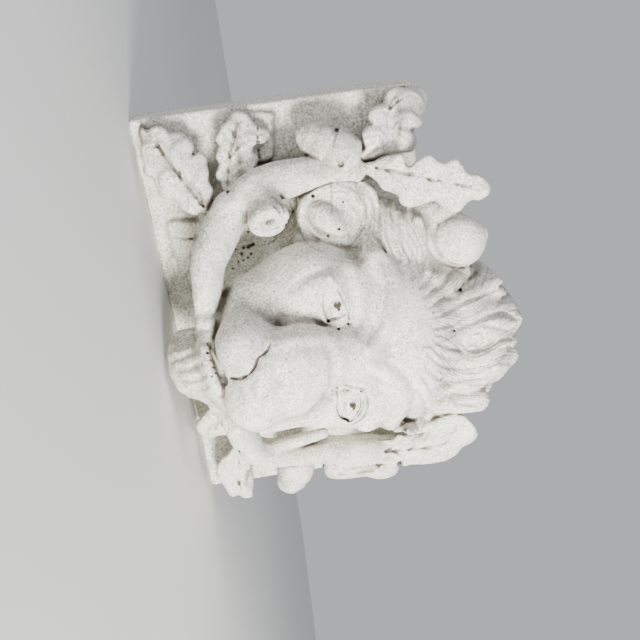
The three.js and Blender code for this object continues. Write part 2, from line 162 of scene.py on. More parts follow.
class Clay:
    def __init__(self, low, high, step):
        self.low = np.array(low, float)
        self.step = step
        count = np.ceil((np.array(high) - self.low) / step).astype(int) + 1
        self.axes = [(self.low[i] + step * np.arange(count[i])).astype(np.float32) for i in range(3)]
        self.field = np.full(count, FAR, np.float32)

    def window(self, tool):
        first = np.floor((tool["low"] - MARGIN - self.low) / self.step).astype(int)
        last = np.ceil((tool["high"] + MARGIN - self.low) / self.step).astype(int) + 1
        first = np.clip(first, 0, self.field.shape)
        last = np.clip(last, 0, self.field.shape)
        cut = tuple(slice(a, b) for a, b in zip(first, last))
        x, y, z = (axis[part] for axis, part in zip(self.axes, cut))
        return cut, x[:, None, None], y[None, :, None], z[None, None, :]

    def add(self, tool, blend=3.0):
        cut, x, y, z = self.window(tool)
        if self.field[cut].size:
            self.field[cut] = melt(self.field[cut], tool["distance"](x, y, z), blend)

    def cut(self, tool, blend=1.5):
        cut, x, y, z = self.window(tool)
        if self.field[cut].size:
            self.field[cut] = -melt(-self.field[cut], tool["distance"](x, y, z), blend)

    def press(self, path, width, depth, sharp=1.0):
        """Pushes the skin in along a path; a negative depth raises it. Both may vary along the path."""
        count = len(path)
        shares = np.linspace(0, 1, count)
        widths, depths = along(width, shares), along(depth, shares)
        reach = widths.max()
        tool = {"low": path.min(0) - reach + MARGIN, "high": path.max(0) + reach - MARGIN}
        cut, x, y, z = self.window(tool)
        best, amount = None, None
        for i in range(count - 1):
            way = path[i + 1] - path[i]
            px, py, pz = x - path[i, 0], y - path[i, 1], z - path[i, 2]
            t = np.clip((px * way[0] + py * way[1] + pz * way[2]) / (way @ way + 1e-9), 0, 1)
            px, py, pz = px - t * way[0], py - t * way[1], pz - t * way[2]
            off = np.sqrt(px * px + py * py + pz * pz) / (widths[i] + (widths[i + 1] - widths[i]) * t)
            deep = depths[i] + (depths[i + 1] - depths[i]) * t
            if best is None:
                best, amount = off, deep
            else:
                nearer = off < best
                best, amount = np.where(nearer, off, best), np.where(nearer, deep, amount)
        if best is not None and best.size:
            fall = np.maximum(1 - best, 0)
            fall = fall * fall * (3 - 2 * fall)
            self.field[cut] += (amount * fall ** sharp).astype(np.float32)

    def sink(self, outline, depth, edge, reach=30):
        """Lowers the skin inside an outline drawn in the picture; a negative depth raises it."""
        outline = np.array(outline, float)
        middle = outline.mean(0)
        foot = self.meet(EYE, sight([middle]))[0]
        far = (foot - EYE) @ FORWARD
        size = np.abs(outline - middle).max() / FOCAL_PIXELS * far + reach
        cut, x, y, z = self.window({"low": foot - size + MARGIN, "high": foot + size - MARGIN})
        u, v, away = seen(x, y, z)
        inward = -outline_map(outline)(u, v) * far / FOCAL_PIXELS
        fall = np.clip(0.5 + inward / edge, 0, 1)
        close = np.clip(3 - np.abs(away - far) / reach * 2, 0, 1)
        fall = fall * fall * (3 - 2 * fall) * close
        self.field[cut] += (depth * fall).astype(np.float32)

    def joined(self, other, blend):
        self.field = melt(self.field, other.field, blend)
        return self

    def finer(self, step):
        """The same clay on a finer grid."""
        finer = Clay(self.low, [axis[-1] for axis in self.axes], step)
        values = self.field
        for axis, old in zip(finer.axes, self.axes):
            place = np.clip((axis - old[0]) / self.step, 0, len(old) - 1.001)
            whole = place.astype(int)
            part = (place - whole)[:, None, None].astype(np.float32)
            values = values[whole] * (1 - part) + values[whole + 1] * part
            values = np.moveaxis(values, 0, 2)
        finer.field = np.ascontiguousarray(values, np.float32)
        return finer

    def sample(self, points):
        """Distances at any points, between the grid's own."""
        place = (np.atleast_2d(points) - self.low) / self.step
        place = np.clip(place, 0, np.array(self.field.shape) - 1.001)
        whole = place.astype(int)
        part = place - whole
        total = 0
        for corner in np.ndindex(2, 2, 2):
            weight = np.prod(np.where(corner, part, 1 - part), axis=1)
            total = total + weight * self.field[tuple((whole + corner).T)]
        return total

    def meet(self, start, rays, reach=1200, stride=4.0):
        """Where rays from a start first enter the clay; a ray that misses it gives its nearest point."""
        start = np.broadcast_to(start, rays.shape)
        centre = (self.low + np.array([axis[-1] for axis in self.axes])) / 2
        size = np.linalg.norm(centre - self.low)
        along = np.maximum(((centre - start) * rays).sum(1) - size, 0)
        best = np.full(len(rays), np.inf)
        nearest = along.copy()
        inside = np.zeros(len(rays), bool)
        for _ in range(400):
            value = self.sample(start + along[:, None] * rays)
            closer = ~inside & (value < best)
            best[closer] = value[closer]
            nearest[closer] = along[closer]
            inside |= value <= 0
            if inside.all():
                break
            along = np.where(inside, along, along + np.clip(0.7 * value, 0.3, stride))
            if along.min() > reach:
                break
        low = nearest - stride
        high = nearest.copy()
        for _ in range(10):
            middle = (low + high) / 2
            hit = self.sample(start + middle[:, None] * rays) <= 0
            high = np.where(hit, middle, high)
            low = np.where(hit, low, middle)
        return start + high[:, None] * rays


# %% [markdown]
# Three tools shape nearly everything: an ellipsoid for a mass of muscle, a stroke for whatever runs
# along a path (a lock of hair, a lid, a branch, a groove), and a turned body for acorns and the twig.

# %% Tools
def spline(points, count):
    """A smooth path through points, and the share of its length at each."""
    points = np.array(points, float)
    if len(points) == 2:
        t = np.linspace(0, 1, count)[:, None]
        return points[0] + (points[1] - points[0]) * t
    knots = np.concatenate([[0], np.cumsum(np.linalg.norm(np.diff(points, axis=0), axis=1) ** 0.5)])
    wide = np.vstack([2 * points[0] - points[1], points, 2 * points[-1] - points[-2]])
    spacing = np.concatenate([[2 * knots[0] - knots[1]], knots, [2 * knots[-1] - knots[-2]]])
    path = []
    for u in np.linspace(knots[0], knots[-1], count):
        i = min(max(np.searchsorted(spacing, u, side="right") - 1, 1), len(spacing) - 3)
        t0, t1, t2, t3 = spacing[i - 1:i + 3]
        p0, p1, p2, p3 = wide[i - 1:i + 3]
        a1 = (t1 - u) / (t1 - t0) * p0 + (u - t0) / (t1 - t0) * p1
        a2 = (t2 - u) / (t2 - t1) * p1 + (u - t1) / (t2 - t1) * p2
        a3 = (t3 - u) / (t3 - t2) * p2 + (u - t2) / (t3 - t2) * p3
        b1 = (t2 - u) / (t2 - t0) * a1 + (u - t0) / (t2 - t0) * a2
        b2 = (t3 - u) / (t3 - t1) * a2 + (u - t1) / (t3 - t1) * a3
        path.append((t2 - u) / (t2 - t1) * b1 + (u - t1) / (t2 - t1) * b2)
    return np.array(path)


def outline_map(outline, margin=20, step=0.5):
    """Distances in the picture to a closed outline drawn through pixels, negative inside it."""
    closed = spline(list(outline) + [outline[0]], 4 * len(outline))
    low = closed.min(0) - margin
    count = ((closed.max(0) + margin - low) / step).astype(int) + 2
    u = (low[0] + step * np.arange(count[0]))[:, None]
    v = (low[1] + step * np.arange(count[1]))[None, :]
    off, odd = np.inf, False
    for (u0, v0), (u1, v1) in zip(closed[:-1], closed[1:]):
        du, dv = u1 - u0, v1 - v0
        t = np.clip(((u - u0) * du + (v - v0) * dv) / (du * du + dv * dv + 1e-9), 0, 1)
        off = np.minimum(off, np.hypot(u - u0 - t * du, v - v0 - t * dv))
        odd = odd ^ (((v0 > v) != (v1 > v)) & (u < u0 + (v - v0) * du / (dv if dv else 1e-9)))
    table = np.where(odd, -off, off)

    def distance(u, v):
        i = np.clip((u - low[0]) / step, 0, count[0] - 1.001)
        j = np.clip((v - low[1]) / step, 0, count[1] - 1.001)
        a, b = i.astype(int), j.astype(int)
        i, j = i - a, j - b
        first = table[a, b] * (1 - i) + table[a + 1, b] * i
        return first * (1 - j) + (table[a, b + 1] * (1 - i) + table[a + 1, b + 1] * i) * j

    return distance


HEAD_ORIGIN = np.array([-6.0, -178.0, 29.0])
HEAD_TURN = turn_about("Z", -14)


def from_head(points):
    """Points of the head's own frame, between the eyes, in the frame of the block."""
    return np.asarray(points, float) @ HEAD_TURN.T + HEAD_ORIGIN


def ellipsoid(at, radii, turn=np.eye(3)):
    centre = np.array(at, float)
    radii = np.array(radii, float)
    half = np.sqrt(((turn * radii) ** 2).sum(1))

    def distance(x, y, z):
        x, y, z = x - centre[0], y - centre[1], z - centre[2]
        local = [turn[0, i] * x + turn[1, i] * y + turn[2, i] * z for i in range(3)]
        near = np.sqrt(sum((p / r) ** 2 for p, r in zip(local, radii)))
        slope = np.sqrt(sum((p / r ** 2) ** 2 for p, r in zip(local, radii))) + 1e-6
        return near * (near - 1) / slope

    return {"low": centre - half, "high": centre + half, "distance": distance}


FRONT = np.array([-0.1, -1.0, 0.1]) / np.linalg.norm([-0.1, -1.0, 0.1])


def stroke(points, breadth, height=None, out=FRONT, count=None):
    """A rounded body along a path: half its breadth, and half its height towards "out"."""
    count = count or min(24, 4 + 4 * len(points))
    path = spline(points, count)
    shares = np.linspace(0, 1, count)
    breadths = along(breadth, shares)
    heights = breadths if height is None else along(height, shares)
    reach = max(breadths.max(), heights.max())

    def distance(x, y, z):
        best = None
        for i in range(count - 1):
            way = path[i + 1] - path[i]
            px, py, pz = x - path[i, 0], y - path[i, 1], z - path[i, 2]
            t = np.clip((px * way[0] + py * way[1] + pz * way[2]) / (way @ way + 1e-9), 0, 1)
            px, py, pz = px - t * way[0], py - t * way[1], pz - t * way[2]
            square = px * px + py * py + pz * pz
            radius = breadths[i] + (breadths[i + 1] - breadths[i]) * t
            if height is None:
                value = np.sqrt(square) - radius
            else:
                flat = radius / (heights[i] + (heights[i + 1] - heights[i]) * t)
                rise = px * out[0] + py * out[1] + pz * out[2]
                square = np.maximum(square + rise * rise * (flat * flat - 1), 0)
                value = (np.sqrt(square) - radius) / np.maximum(flat, 1)
            best = value if best is None else np.minimum(best, value)
        return best

    return {"low": path.min(0) - reach, "high": path.max(0) + reach, "distance": distance}


def turned(foot, tip, profile):
    """A body turned on the axis from foot to tip; the profile gives radii at shares of its length."""
    foot, tip = np.array(foot, float), np.array(tip, float)
    length = np.linalg.norm(tip - foot)
    axis = (tip - foot) / length
    shares, radii = np.array(profile, float).T
    reach = radii.max()

    def distance(x, y, z):
        px, py, pz = x - foot[0], y - foot[1], z - foot[2]
        up = px * axis[0] + py * axis[1] + pz * axis[2]
        off = np.sqrt(np.maximum(px * px + py * py + pz * pz - up * up, 0))
        radius = np.interp(up / length, shares, radii)
        side = (off - radius) * 0.8
        return np.maximum(side, np.maximum(-up, up - length))

    low = np.minimum(foot, tip) - reach
    return {"low": low, "high": np.maximum(foot, tip) + reach, "distance": distance}


def box(low, high, chamfer):
    low, high = np.array(low, float), np.array(high, float)
    centre, half = (low + high) / 2, (high - low) / 2 - chamfer

    def distance(x, y, z):
        q = [np.abs(p - c) - h for p, c, h in zip((x, y, z), centre, half)]
        outside = np.sqrt(sum(np.maximum(v, 0) ** 2 for v in q))
        return outside + np.minimum(np.maximum(np.maximum(q[0], q[1]), q[2]), 0) - chamfer

    return {"low": low, "high": high, "distance": distance}


# %% [markdown]
# Carving that follows the surface is drawn by pixel: a path in the upright picture is laid on the clay
# where the eye sees it. "sink" pushes it below the skin and a negative one lifts it.

# %% Drawing on the clay
def lay(clay, pixels, sink=0.0, spacing=5.0):
    pixels = np.array(pixels, float)
    span = np.linalg.norm(np.diff(pixels, axis=0), axis=1).sum() if len(pixels) > 1 else 0
    path = spline(pixels, max(2, int(span / spacing) + 1)) if len(pixels) > 1 else pixels
    rays = sight(path)
    return clay.meet(EYE, rays) + sink * rays


def at_depth(pixels, y):
    """Points seen at pixels, on the plane at this y."""
    rays = sight(pixels)
    return EYE + rays * ((y - EYE[1]) / rays[:, 1:2])


def drill(clay, pixels, radius, depth):
    """Holes bored straight in, each seen at one pixel."""
    for pixel in pixels:
        foot = lay(clay, [pixel], depth)[0]
        top = foot - (depth + 2 * radius) * sight([pixel])[0]
        clay.cut(stroke([foot, top], radius, count=2), 0.6)


def taper(size, from_end=0.35, to_end=0.35):
    """Half a breadth that swells in the middle of a stroke."""
    swell = 1 - max(from_end, to_end)
    return lambda t: size * (from_end * (1 - t) + to_end * t + swell * math.sin(math.pi * t))


# %% [markdown]
# The head is built up as a modeller would: first the big masses of skull, cheeks and muzzle in the
# head's own turned frame, and the mane behind them, then brows, eyes, nose and mouth, and the strands
# last. One grid holds it all, so every lock grows out of the skull without a gap.

# %% Masses of the face and the mane
ROUGH_STEP = 2.5
HEAD_STEP = 0.95
HEAD_LOW, HEAD_HIGH = (-170, -232, -172), (160, 8, 236)
FACE_BLEND = 13
MANE_BLEND = 30
MANE_CENTRE = np.array([10.0, -50.0, 90.0])

FACE_MASSES = [
    ((0, 66, 24), (98, 70, 90)),       # skull
    ((0, 44, 60), (82, 52, 58)),       # forehead
    ((0, 6, 4), (27, 28, 36)),         # root of the nose
    ((0, -6, -34), (31, 30, 38)),      # bridge
    ((5, -10, -54), (43, 32, 34)),     # top of the muzzle
    ((0, -20, -78), (30, 26, 17)),     # nose
    ((0, 30, -92), (66, 60, 29)),      # upper lip, round to the cheeks
    ((-26, -6, -88), (28, 32, 28)),    # whisker pads
    ((27, -6, -88), (28, 32, 28)),
    ((-60, 44, -22), (50, 46, 58)),    # cheeks
    ((44, 44, -18), (38, 44, 52)),
    ((-56, 14, -32), (24, 16, 20)),    # bags under the eyes
    ((50, 14, -32), (20, 16, 20)),
    ((-50, 48, -74), (40, 44, 44)),    # jaws
    ((44, 40, -74), (32, 44, 44)),
    ((-18, -10, -72), (15, 24, 15)),   # wings of the nose
    ((18, -10, -72), (15, 24, 15)),
    ((-54, 17, 18), (32, 16, 20)),     # upper lids
    ((54, 17, 18), (32, 16, 20)),
    ((-66, 26, 42), (34, 22, 14)),     # brows
    ((62, 26, 42), (30, 22, 15)),
    ((-36, 13, 42), (27, 19, 12)),
    ((36, 13, 42), (27, 19, 12)),
    ((-6, 56, -112), (44, 38, 32)),    # throat
]
MANE_MASSES = [
    ((18, -84, 142), (58, 52, 80)),
    ((44, -96, 134), (46, 50, 66)),
    ((16, -112, 120), (66, 48, 48)),
    ((42, -92, 174), (42, 38, 44)),
    ((64, -104, 156), (34, 36, 44)),
    ((-56, -76, 92), (68, 52, 54)),
    ((72, -96, 92), (52, 56, 62)),
    ((-92, -52, 46), (46, 44, 46)),
    ((98, -70, 30), (42, 46, 58)),
    ((0, -40, 20), (112, 60, 112)),
]
mane = Clay(HEAD_LOW, HEAD_HIGH, ROUGH_STEP)
for at, radii in MANE_MASSES:
    mane.add(ellipsoid(at, radii), MANE_BLEND)
face = Clay(HEAD_LOW, HEAD_HIGH, ROUGH_STEP)
for at, radii in FACE_MASSES:
    face.add(ellipsoid(from_head(at), radii, HEAD_TURN), FACE_BLEND)
head = face.joined(mane, 14).finer(HEAD_STEP)
print("head grid", head.field.shape, round(time.time() - started, 1), "s")

# %% [markdown]
# The mane radiates from the forehead. Two rows of thick locks fan out over its top and back, each
# swinging a little to one side at its tip. The locks in front of them, the curl beside the left cheek
# and the ears are laid where the picture shows them.

# %% Locks
def direction(polar, turn):
    """A direction by its angle from the front and its turn, clockwise from upright, in degrees."""
    polar, turn = math.radians(polar), math.radians(turn)
    aside = math.sin(polar)
    return np.array([aside * math.sin(turn), -math.cos(polar), aside * math.cos(turn)])


# locks on top and behind, that the picture only shows as an outline
OUTSIDE_MANE = 290


def fan(count, turns, polars, width, swing):
    for i in range(count):
        turn = turns[0] + (turns[1] - turns[0]) * i / (count - 1)
        rays = np.array([
            direction(polars[0] + (polars[1] - polars[0]) * t, turn + swing * t * t)
            for t in (0, 0.33, 0.67, 1)
        ])
        path = head.meet(MANE_CENTRE + OUTSIDE_MANE * rays, -rays) - 0.2 * width * rays
        out = direction(sum(polars) / 2, turn)
        head.add(stroke(path, taper(0.62 * width, 0.5, 0.45), lambda t: 0.42 * width, out), 8)


fan(7, (-58, 62), (42, 74), 34, 10)
fan(5, (-34, 40), (64, 98), 38, -8)

# locks that the picture shows, each laid on the clay along its middle, with half its breadth
LOCK_SINK = 0.45
LOCKS = [
    ([(281, 143), (287, 157), (296, 172), (305, 190), (311, 204)], 7.5),
    ([(292, 138), (299, 152), (306, 168), (314, 184), (319, 198)], 7.5),
    ([(306, 129), (308, 142), (312, 156), (318, 170), (325, 186)], 8),
    ([(323, 129), (321, 142), (322, 156), (328, 170), (334, 186)], 8),
    ([(339, 127), (344, 137), (353, 147), (358, 160), (358, 176), (353, 192)], 8),
    ([(353, 133), (364, 146), (372, 160), (374, 176), (370, 194)], 7.5),
    ([(366, 144), (377, 156), (384, 170), (385, 186), (388, 200)], 8),
    ([(269, 168), (277, 180), (288, 194), (298, 208)], 7),
    ([(267, 190), (276, 200), (288, 211)], 6),
    ([(272, 214), (256, 216), (240, 224), (224, 228), (208, 228)], 6.5),
    ([(268, 224), (252, 228), (236, 234), (220, 236), (206, 234)], 6),
    ([(262, 236), (248, 241), (232, 245), (216, 246), (202, 247)], 7),
    ([(256, 250), (242, 256), (226, 258), (210, 258), (196, 264)], 7),
    ([(252, 262), (238, 269), (224, 268), (208, 268), (194, 275), (187, 287)], 6.5),
    ([(247, 273), (234, 280), (218, 275), (204, 277), (194, 286), (190, 300)], 6.5),
    ([(404, 160), (405, 178), (406, 196)], 6),
    ([(414, 186), (420, 200), (427, 216), (431, 232)], 6),
    ([(400, 206), (414, 212), (424, 226), (430, 244)], 6),
]
for pixels, size in LOCKS:
    head.add(stroke(lay(head, pixels, LOCK_SINK * size), taper(size, 0.55, 0.5)), 4)

# the curl beside the left cheek: a boss with a hollow in it and a bright lump in the hollow
CURL_CENTRE = (-121, -86, 44)
CURL_ROLL = [(244, 284), (240, 296), (239, 312), (232, 327), (218, 336), (202, 334), (193, 322)]
CURL_LUMP = [(227, 303), (219, 314), (210, 326)]
CURL_EDGE = [(196, 276), (191, 294), (190, 312), (196, 330)]
CURL_BACK = [(250, 276), (248, 290), (247, 306), (245, 322), (239, 336)]
CURL_HOLLOW = [(219, 288), (207, 294), (203, 306), (201, 320)]
head.add(ellipsoid(CURL_CENTRE, (34, 24, 36)), 14)
head.add(stroke(at_depth(CURL_EDGE, -90), taper(16, 0.8, 0.8)), 8)
head.add(stroke(at_depth(CURL_BACK, -98), taper(11, 0.8, 0.8)), 8)
head.add(stroke(lay(head, CURL_ROLL, 3), taper(8, 0.6, 0.6)), 4)
head.press(lay(head, CURL_HOLLOW), taper(14, 0.7, 0.8), taper(15, 0.6, 0.7))
head.add(stroke(lay(head, CURL_LUMP, 2), taper(12, 0.6, 0.6)), 3)

# ears: a round boss in a cup on the left, an upright finger on the right
BEHIND_EAR = (-62, -84, 130)
LEFT_EAR = (-75, -97, 168.5)
EAR_CORNER = (-80, -98, 193)
EAR_CUP = [(270, 178), (267, 196), (257, 211), (241, 219), (221, 222)]
EAR_TUFT = [(216, 188), (212, 202), (213, 216), (218, 228)]
EAR_SEAM = [(266, 176), (265, 190), (259, 202), (250, 209), (238, 211), (226, 206)]
RIGHT_EAR = ((84, -144, 128), (87, -146, 150), (89, -146, 171))
head.add(ellipsoid(BEHIND_EAR, (44, 34, 30)), 12)
head.add(stroke(at_depth(EAR_CUP, -106), taper(9, 0.8, 0.6)), 6)
head.add(stroke(at_depth(EAR_TUFT, -88), taper(15, 0.7, 0.8)), 8)
head.add(ellipsoid(LEFT_EAR, (28, 25, 30)), 2)
head.add(stroke([LEFT_EAR, EAR_CORNER], lambda t: 22 - 14 * t), 5)
head.press(lay(head, EAR_SEAM), 3.5, 3)
head.add(stroke(RIGHT_EAR, 13, 15), 4)
print("locks", round(time.time() - started, 1), "s")

# %% [markdown]
# Every lock is combed into strands. Their grooves are drawn where the picture shows them: each runs
# from the forehead out to the tip of its lock.

# %% Strands
GROOVE_SHARPNESS = 1.2
PARTINGS = [
    [(315, 127), (314, 138), (316, 150), (319, 162), (323, 172), (329, 184)],
    [(275, 147), (279, 157), (284, 168), (290, 179)],
    [(298, 133), (296, 142), (299, 150), (305, 160), (310, 170), (313, 182)],
    [(346, 128), (349, 138), (356, 147), (362, 156), (364, 168), (363, 180)],
    [(370, 146), (376, 156), (380, 168), (379, 182), (382, 194), (387, 204)],
    [(385, 158), (387, 170), (390, 184), (394, 196), (402, 205)],
    [(410, 178), (413, 190), (412, 204), (418, 212)],
    [(270, 219), (256, 222), (244, 228), (230, 231), (210, 231)],
    [(259, 229), (247, 235), (234, 238), (222, 239), (207, 238)],
    [(260, 242), (248, 247), (234, 251), (218, 252), (200, 255)],
    [(254, 256), (240, 262), (228, 263), (213, 263), (199, 267), (189, 274), (183, 283)],
    [(250, 268), (234, 276), (219, 271), (205, 271), (193, 277), (186, 288)],
    [(244, 280), (234, 285), (220, 280), (206, 282), (197, 290), (193, 303)],
]
STRANDS = [
    [(284, 137), (290, 146), (294, 156), (299, 168), (304, 180), (308, 194), (312, 206)],
    [(330, 130), (328, 140), (325, 150), (326, 158)],
    [(338, 128), (339, 138), (340, 148), (339, 154)],
    [(360, 140), (366, 150), (371, 162), (374, 176), (372, 190), (371, 202)],
    [(353, 133), (358, 144), (366, 156), (369, 170), (368, 184), (364, 198)],
    [(328, 206), (326, 196), (324, 188), (320, 180)],
    [(335, 204), (335, 196), (333, 190), (330, 187)],
    [(340, 206), (344, 198), (348, 190), (350, 180)],
    [(346, 208), (354, 200), (358, 190), (360, 178)],
    [(354, 212), (362, 202), (367, 194), (369, 184)],
    [(318, 208), (314, 198), (310, 190), (304, 184)],
    [(308, 212), (302, 202), (296, 194), (290, 186), (284, 176)],
    [(298, 216), (290, 206), (282, 198), (274, 190)],
    [(288, 220), (278, 212), (268, 206)],
    [(366, 214), (374, 206), (380, 198), (380, 190)],
    [(376, 218), (386, 210), (394, 206)],
    [(390, 222), (402, 214), (412, 210)],
    [(346, 216), (345, 210), (342, 200), (337, 192), (334, 184)],
    [(256, 230), (246, 230), (236, 235), (226, 238), (210, 236)],
    [(254, 238), (242, 241), (228, 243), (214, 240)],
    [(248, 260), (236, 265), (224, 263), (210, 263), (198, 268), (192, 276)],
    [(246, 270), (234, 273), (220, 271), (206, 273), (196, 280)],
    [(244, 280), (230, 279), (216, 280), (204, 286)],
    [(278, 228), (268, 226), (258, 225), (248, 226)],
    [(402, 160), (404, 172), (404, 184)],
    [(248, 282), (229, 277), (212, 281), (201, 292), (196, 306), (197, 322)],
    [(240, 291), (226, 286), (214, 290), (207, 300), (204, 313), (206, 326)],
    [(240, 322), (232, 333), (220, 338), (208, 336)],
]
for path in PARTINGS:
    head.press(lay(head, path), taper(6.5, 0.6, 0.7), taper(5.5, 0.8, 0.5), GROOVE_SHARPNESS)
for path in STRANDS:
    head.press(lay(head, path), taper(4.2, 0.7, 0.7), taper(3.2, 0.6, 0.5), GROOVE_SHARPNESS)

# the tear-shaped curl on top, and the drill's marks between the locks
TEAR_CURL = [(331, 158), (334, 172), (340, 178), (348, 174), (350, 162), (344, 155), (336, 156)]
DRILLED = [(290, 180), (331, 186), (198, 246), (190, 260), (202, 297), (196, 327), (229, 301),
           (236, 312)]
head.press(lay(head, TEAR_CURL), 3.8, 3.0, GROOVE_SHARPNESS)
drill(head, DRILLED, 1.6, 4)
print("strands", round(time.time() - started, 1), "s")

# %% [markdown]
# The brow ridges arch over the eyes and hollows part them from lids, cheeks and nose. Each eye is a
# ball in a shallow socket, with an upper lid and a sharp fold above it, a thin lower lid, an iris ring
# and a drilled pupil under the upper lid, which is what makes the gaze look up.

# %% Brows and sockets
BROWS = [
    [(254, 262), (264, 250), (284, 245), (305, 247), (323, 251), (338, 260), (350, 271)],
    [(366, 268), (373, 252), (386, 240), (400, 234), (414, 240), (424, 252)],
]
for brow in BROWS:
    head.press(lay(head, brow), taper(13, 0.7, 0.5), -5)
HOLLOWS = [
    ([(268, 268), (284, 260), (304, 259), (322, 264), (336, 274)], 10, 3.5),
    ([(387, 262), (394, 250), (406, 247)], 8, 2.5),
    ([(286, 292), (304, 285), (322, 283), (334, 288)], 9, 3),
    ([(335, 300), (336, 312), (333, 324), (330, 336), (326, 350)], 16, -7),
    ([(311, 352), (302, 366), (292, 380)], 15, 2),
    ([(386, 292), (387, 304), (396, 318), (406, 333), (415, 348)], 8, 6),
    ([(272, 318), (274, 330), (280, 340), (290, 347)], 8, 4),
    ([(344, 313), (356, 307), (374, 305), (388, 308)], 9, 4),
]
for path, width, depth in HOLLOWS:
    head.press(lay(head, path), width, taper(depth, 0.3, 0.2))

# %% Eyes
EYES = {
    "left": {
        "opening": [(279.5, 311.5), (285, 307), (292, 303), (301, 299.5), (308, 297.5), (314, 297),
                    (319, 304), (322, 312), (315, 315), (308, 317), (300, 317), (289, 315)],
        "mound": [(286, 310), (298, 305), (312, 305)],
        "upper": [(278, 310), (289, 303.5), (301, 298), (308.5, 296), (315, 295)],
        "fold": [(281, 306.5), (291, 300), (301, 295), (312, 291.5), (323, 290)],
        "lower": [(280, 313), (289, 317), (301, 319), (312, 317.5), (321, 314)],
        "inner": [(314, 296), (319, 304), (322, 312.5)],
        "tear": [(323, 291), (329, 300), (333, 310)],
        "dots": [(324, 292), (329, 301.5), (321.5, 312)],
        "iris": (307, 304), "pupil": (304.5, 302.5),
    },
    "right": {
        "opening": [(393, 281), (401, 278.5), (409, 280), (416, 284.5), (420.5, 291.5), (417, 300),
                    (408, 303.5), (398, 302.5), (390, 304), (388.5, 300), (389.5, 290)],
        "mound": [(395, 291), (404, 289), (413, 291)],
        "upper": [(391, 279), (401, 276.5), (410.5, 278), (418, 283.5), (422, 291)],
        "fold": [(392, 274), (402, 271.5), (412, 273), (420, 279), (425, 288)],
        "lower": [(389, 305.5), (398, 305), (409, 306), (418, 302.5), (423, 294)],
        "inner": [(392, 280), (388, 290), (387.5, 301)],
        "tear": [(388, 277), (384, 290), (385, 303)],
        "dots": [(391, 279), (387.5, 303), (421, 292), (435, 298)],
        "iris": (406, 289), "pupil": (404.5, 287.5),
    },
}
SOCKET_DEPTH, SOCKET_EDGE, SOCKET_REACH = 4.5, 1.6, 22
FLESH_RISE, BALL_RISE = 7, 3
UPPER_LID_RISE, LOWER_LID_RISE = 3, 2
LINE_CUTS = {"fold": (0.6, taper(1.1, 0.5, 1)), "upper": (0.8, taper(1.2, 0.5, 1)),
             "lower": (0.3, taper(0.8, 0.6, 0.8))}
TEAR_WIDTH, TEAR_DEPTH = 3.2, 3.4
IRIS_RADIUS_PIXELS = 8.0
IRIS_LINE = 2.0
PUPIL_RADIUS, PUPIL_DEPTH = 3.4, 7
PUPIL_TOP = ((-3, -2.5), (0, -4), (4, -3))
for eye in EYES.values():
    head.press(lay(head, eye["mound"]), 22, -FLESH_RISE)
    head.press(lay(head, eye["upper"]), 5, -UPPER_LID_RISE)
    head.press(lay(head, eye["lower"]), 4.5, -LOWER_LID_RISE)
    head.sink(eye["opening"], SOCKET_DEPTH, SOCKET_EDGE, SOCKET_REACH)
    head.press(lay(head, eye["opening"][:6]), 2.4, taper(3.0, 0.6, 0.9))
    head.press(lay(head, eye["opening"][6:]), 2.0, 1.6)
    head.press(lay(head, eye["mound"]), 9, -BALL_RISE)
    for line, (sunk, radius) in LINE_CUTS.items():
        head.cut(stroke(lay(head, eye[line], sunk), radius, count=20), 1)
    head.press(lay(head, eye["inner"]), 2.4, 2.6)
    head.press(lay(head, eye["tear"]), TEAR_WIDTH, TEAR_DEPTH)
    iris = np.array(eye["iris"])
    ring = [iris + IRIS_RADIUS_PIXELS * np.array([math.cos(a), math.sin(a)])
            for a in np.radians(range(-40, 221, 20))]
    head.press(lay(head, ring), IRIS_LINE, IRIS_LINE)
    drill(head, [eye["pupil"]], PUPIL_RADIUS, PUPIL_DEPTH)
    head.press(lay(head, [iris + step for step in PUPIL_TOP]), 2.4, 2.0)
    drill(head, eye["dots"], 1.3, 2.5)

# %% [markdown]
# A slit curls from each nostril into the cleft of the lip. Below it the mouth opens over a bar with a
# row of drilled holes, which stand for teeth, and the beard hangs from the jaw in short tufts.

# %% Nose and mouth
NOSTRIL = [(343, 369), (349, 372), (354, 376), (358, 382), (366, 384.5), (371, 387.5),
           (376, 393.5), (378.3, 401), (378, 409)]
FAR_NOSTRIL = [(420, 364), (414, 377), (404, 386), (392, 392), (381, 400)]
NOSE_EDGES = [
    [(340, 316), (338, 332), (340, 350), (346, 364)],
    [(344, 366), (356, 364), (368, 372), (384, 378), (400, 374)],
]
for path in NOSE_EDGES:
    head.press(lay(head, path), 10, taper(-3, 0.4, 0.4))
head.press(lay(head, NOSTRIL), 5, taper(2.5, 0.2, 0.6))
head.cut(stroke(lay(head, NOSTRIL, 0.8), taper(1.4, 0.4, 0.8), count=20), 1)
head.press(lay(head, FAR_NOSTRIL), 6, taper(2.5, 0.3, 0.3))

# the mouth opens under the lip, over a bar that is drilled for teeth
LIP = [(344, 431), (355, 428), (366, 422), (374, 417), (380, 413.5)]
BAR = [(350, 436), (361, 433), (373, 429), (384, 425), (390, 421)]
gap = from_head([(-24, 8, -116), (-6, -4, -114)])
head.cut(stroke(gap, 3, 20), 2)
jaw = from_head([(-46, 22, -121), (-26, 3, -127), (4, -4, -125), (30, 12, -117)])
head.add(stroke(jaw, 9, 12), 3)
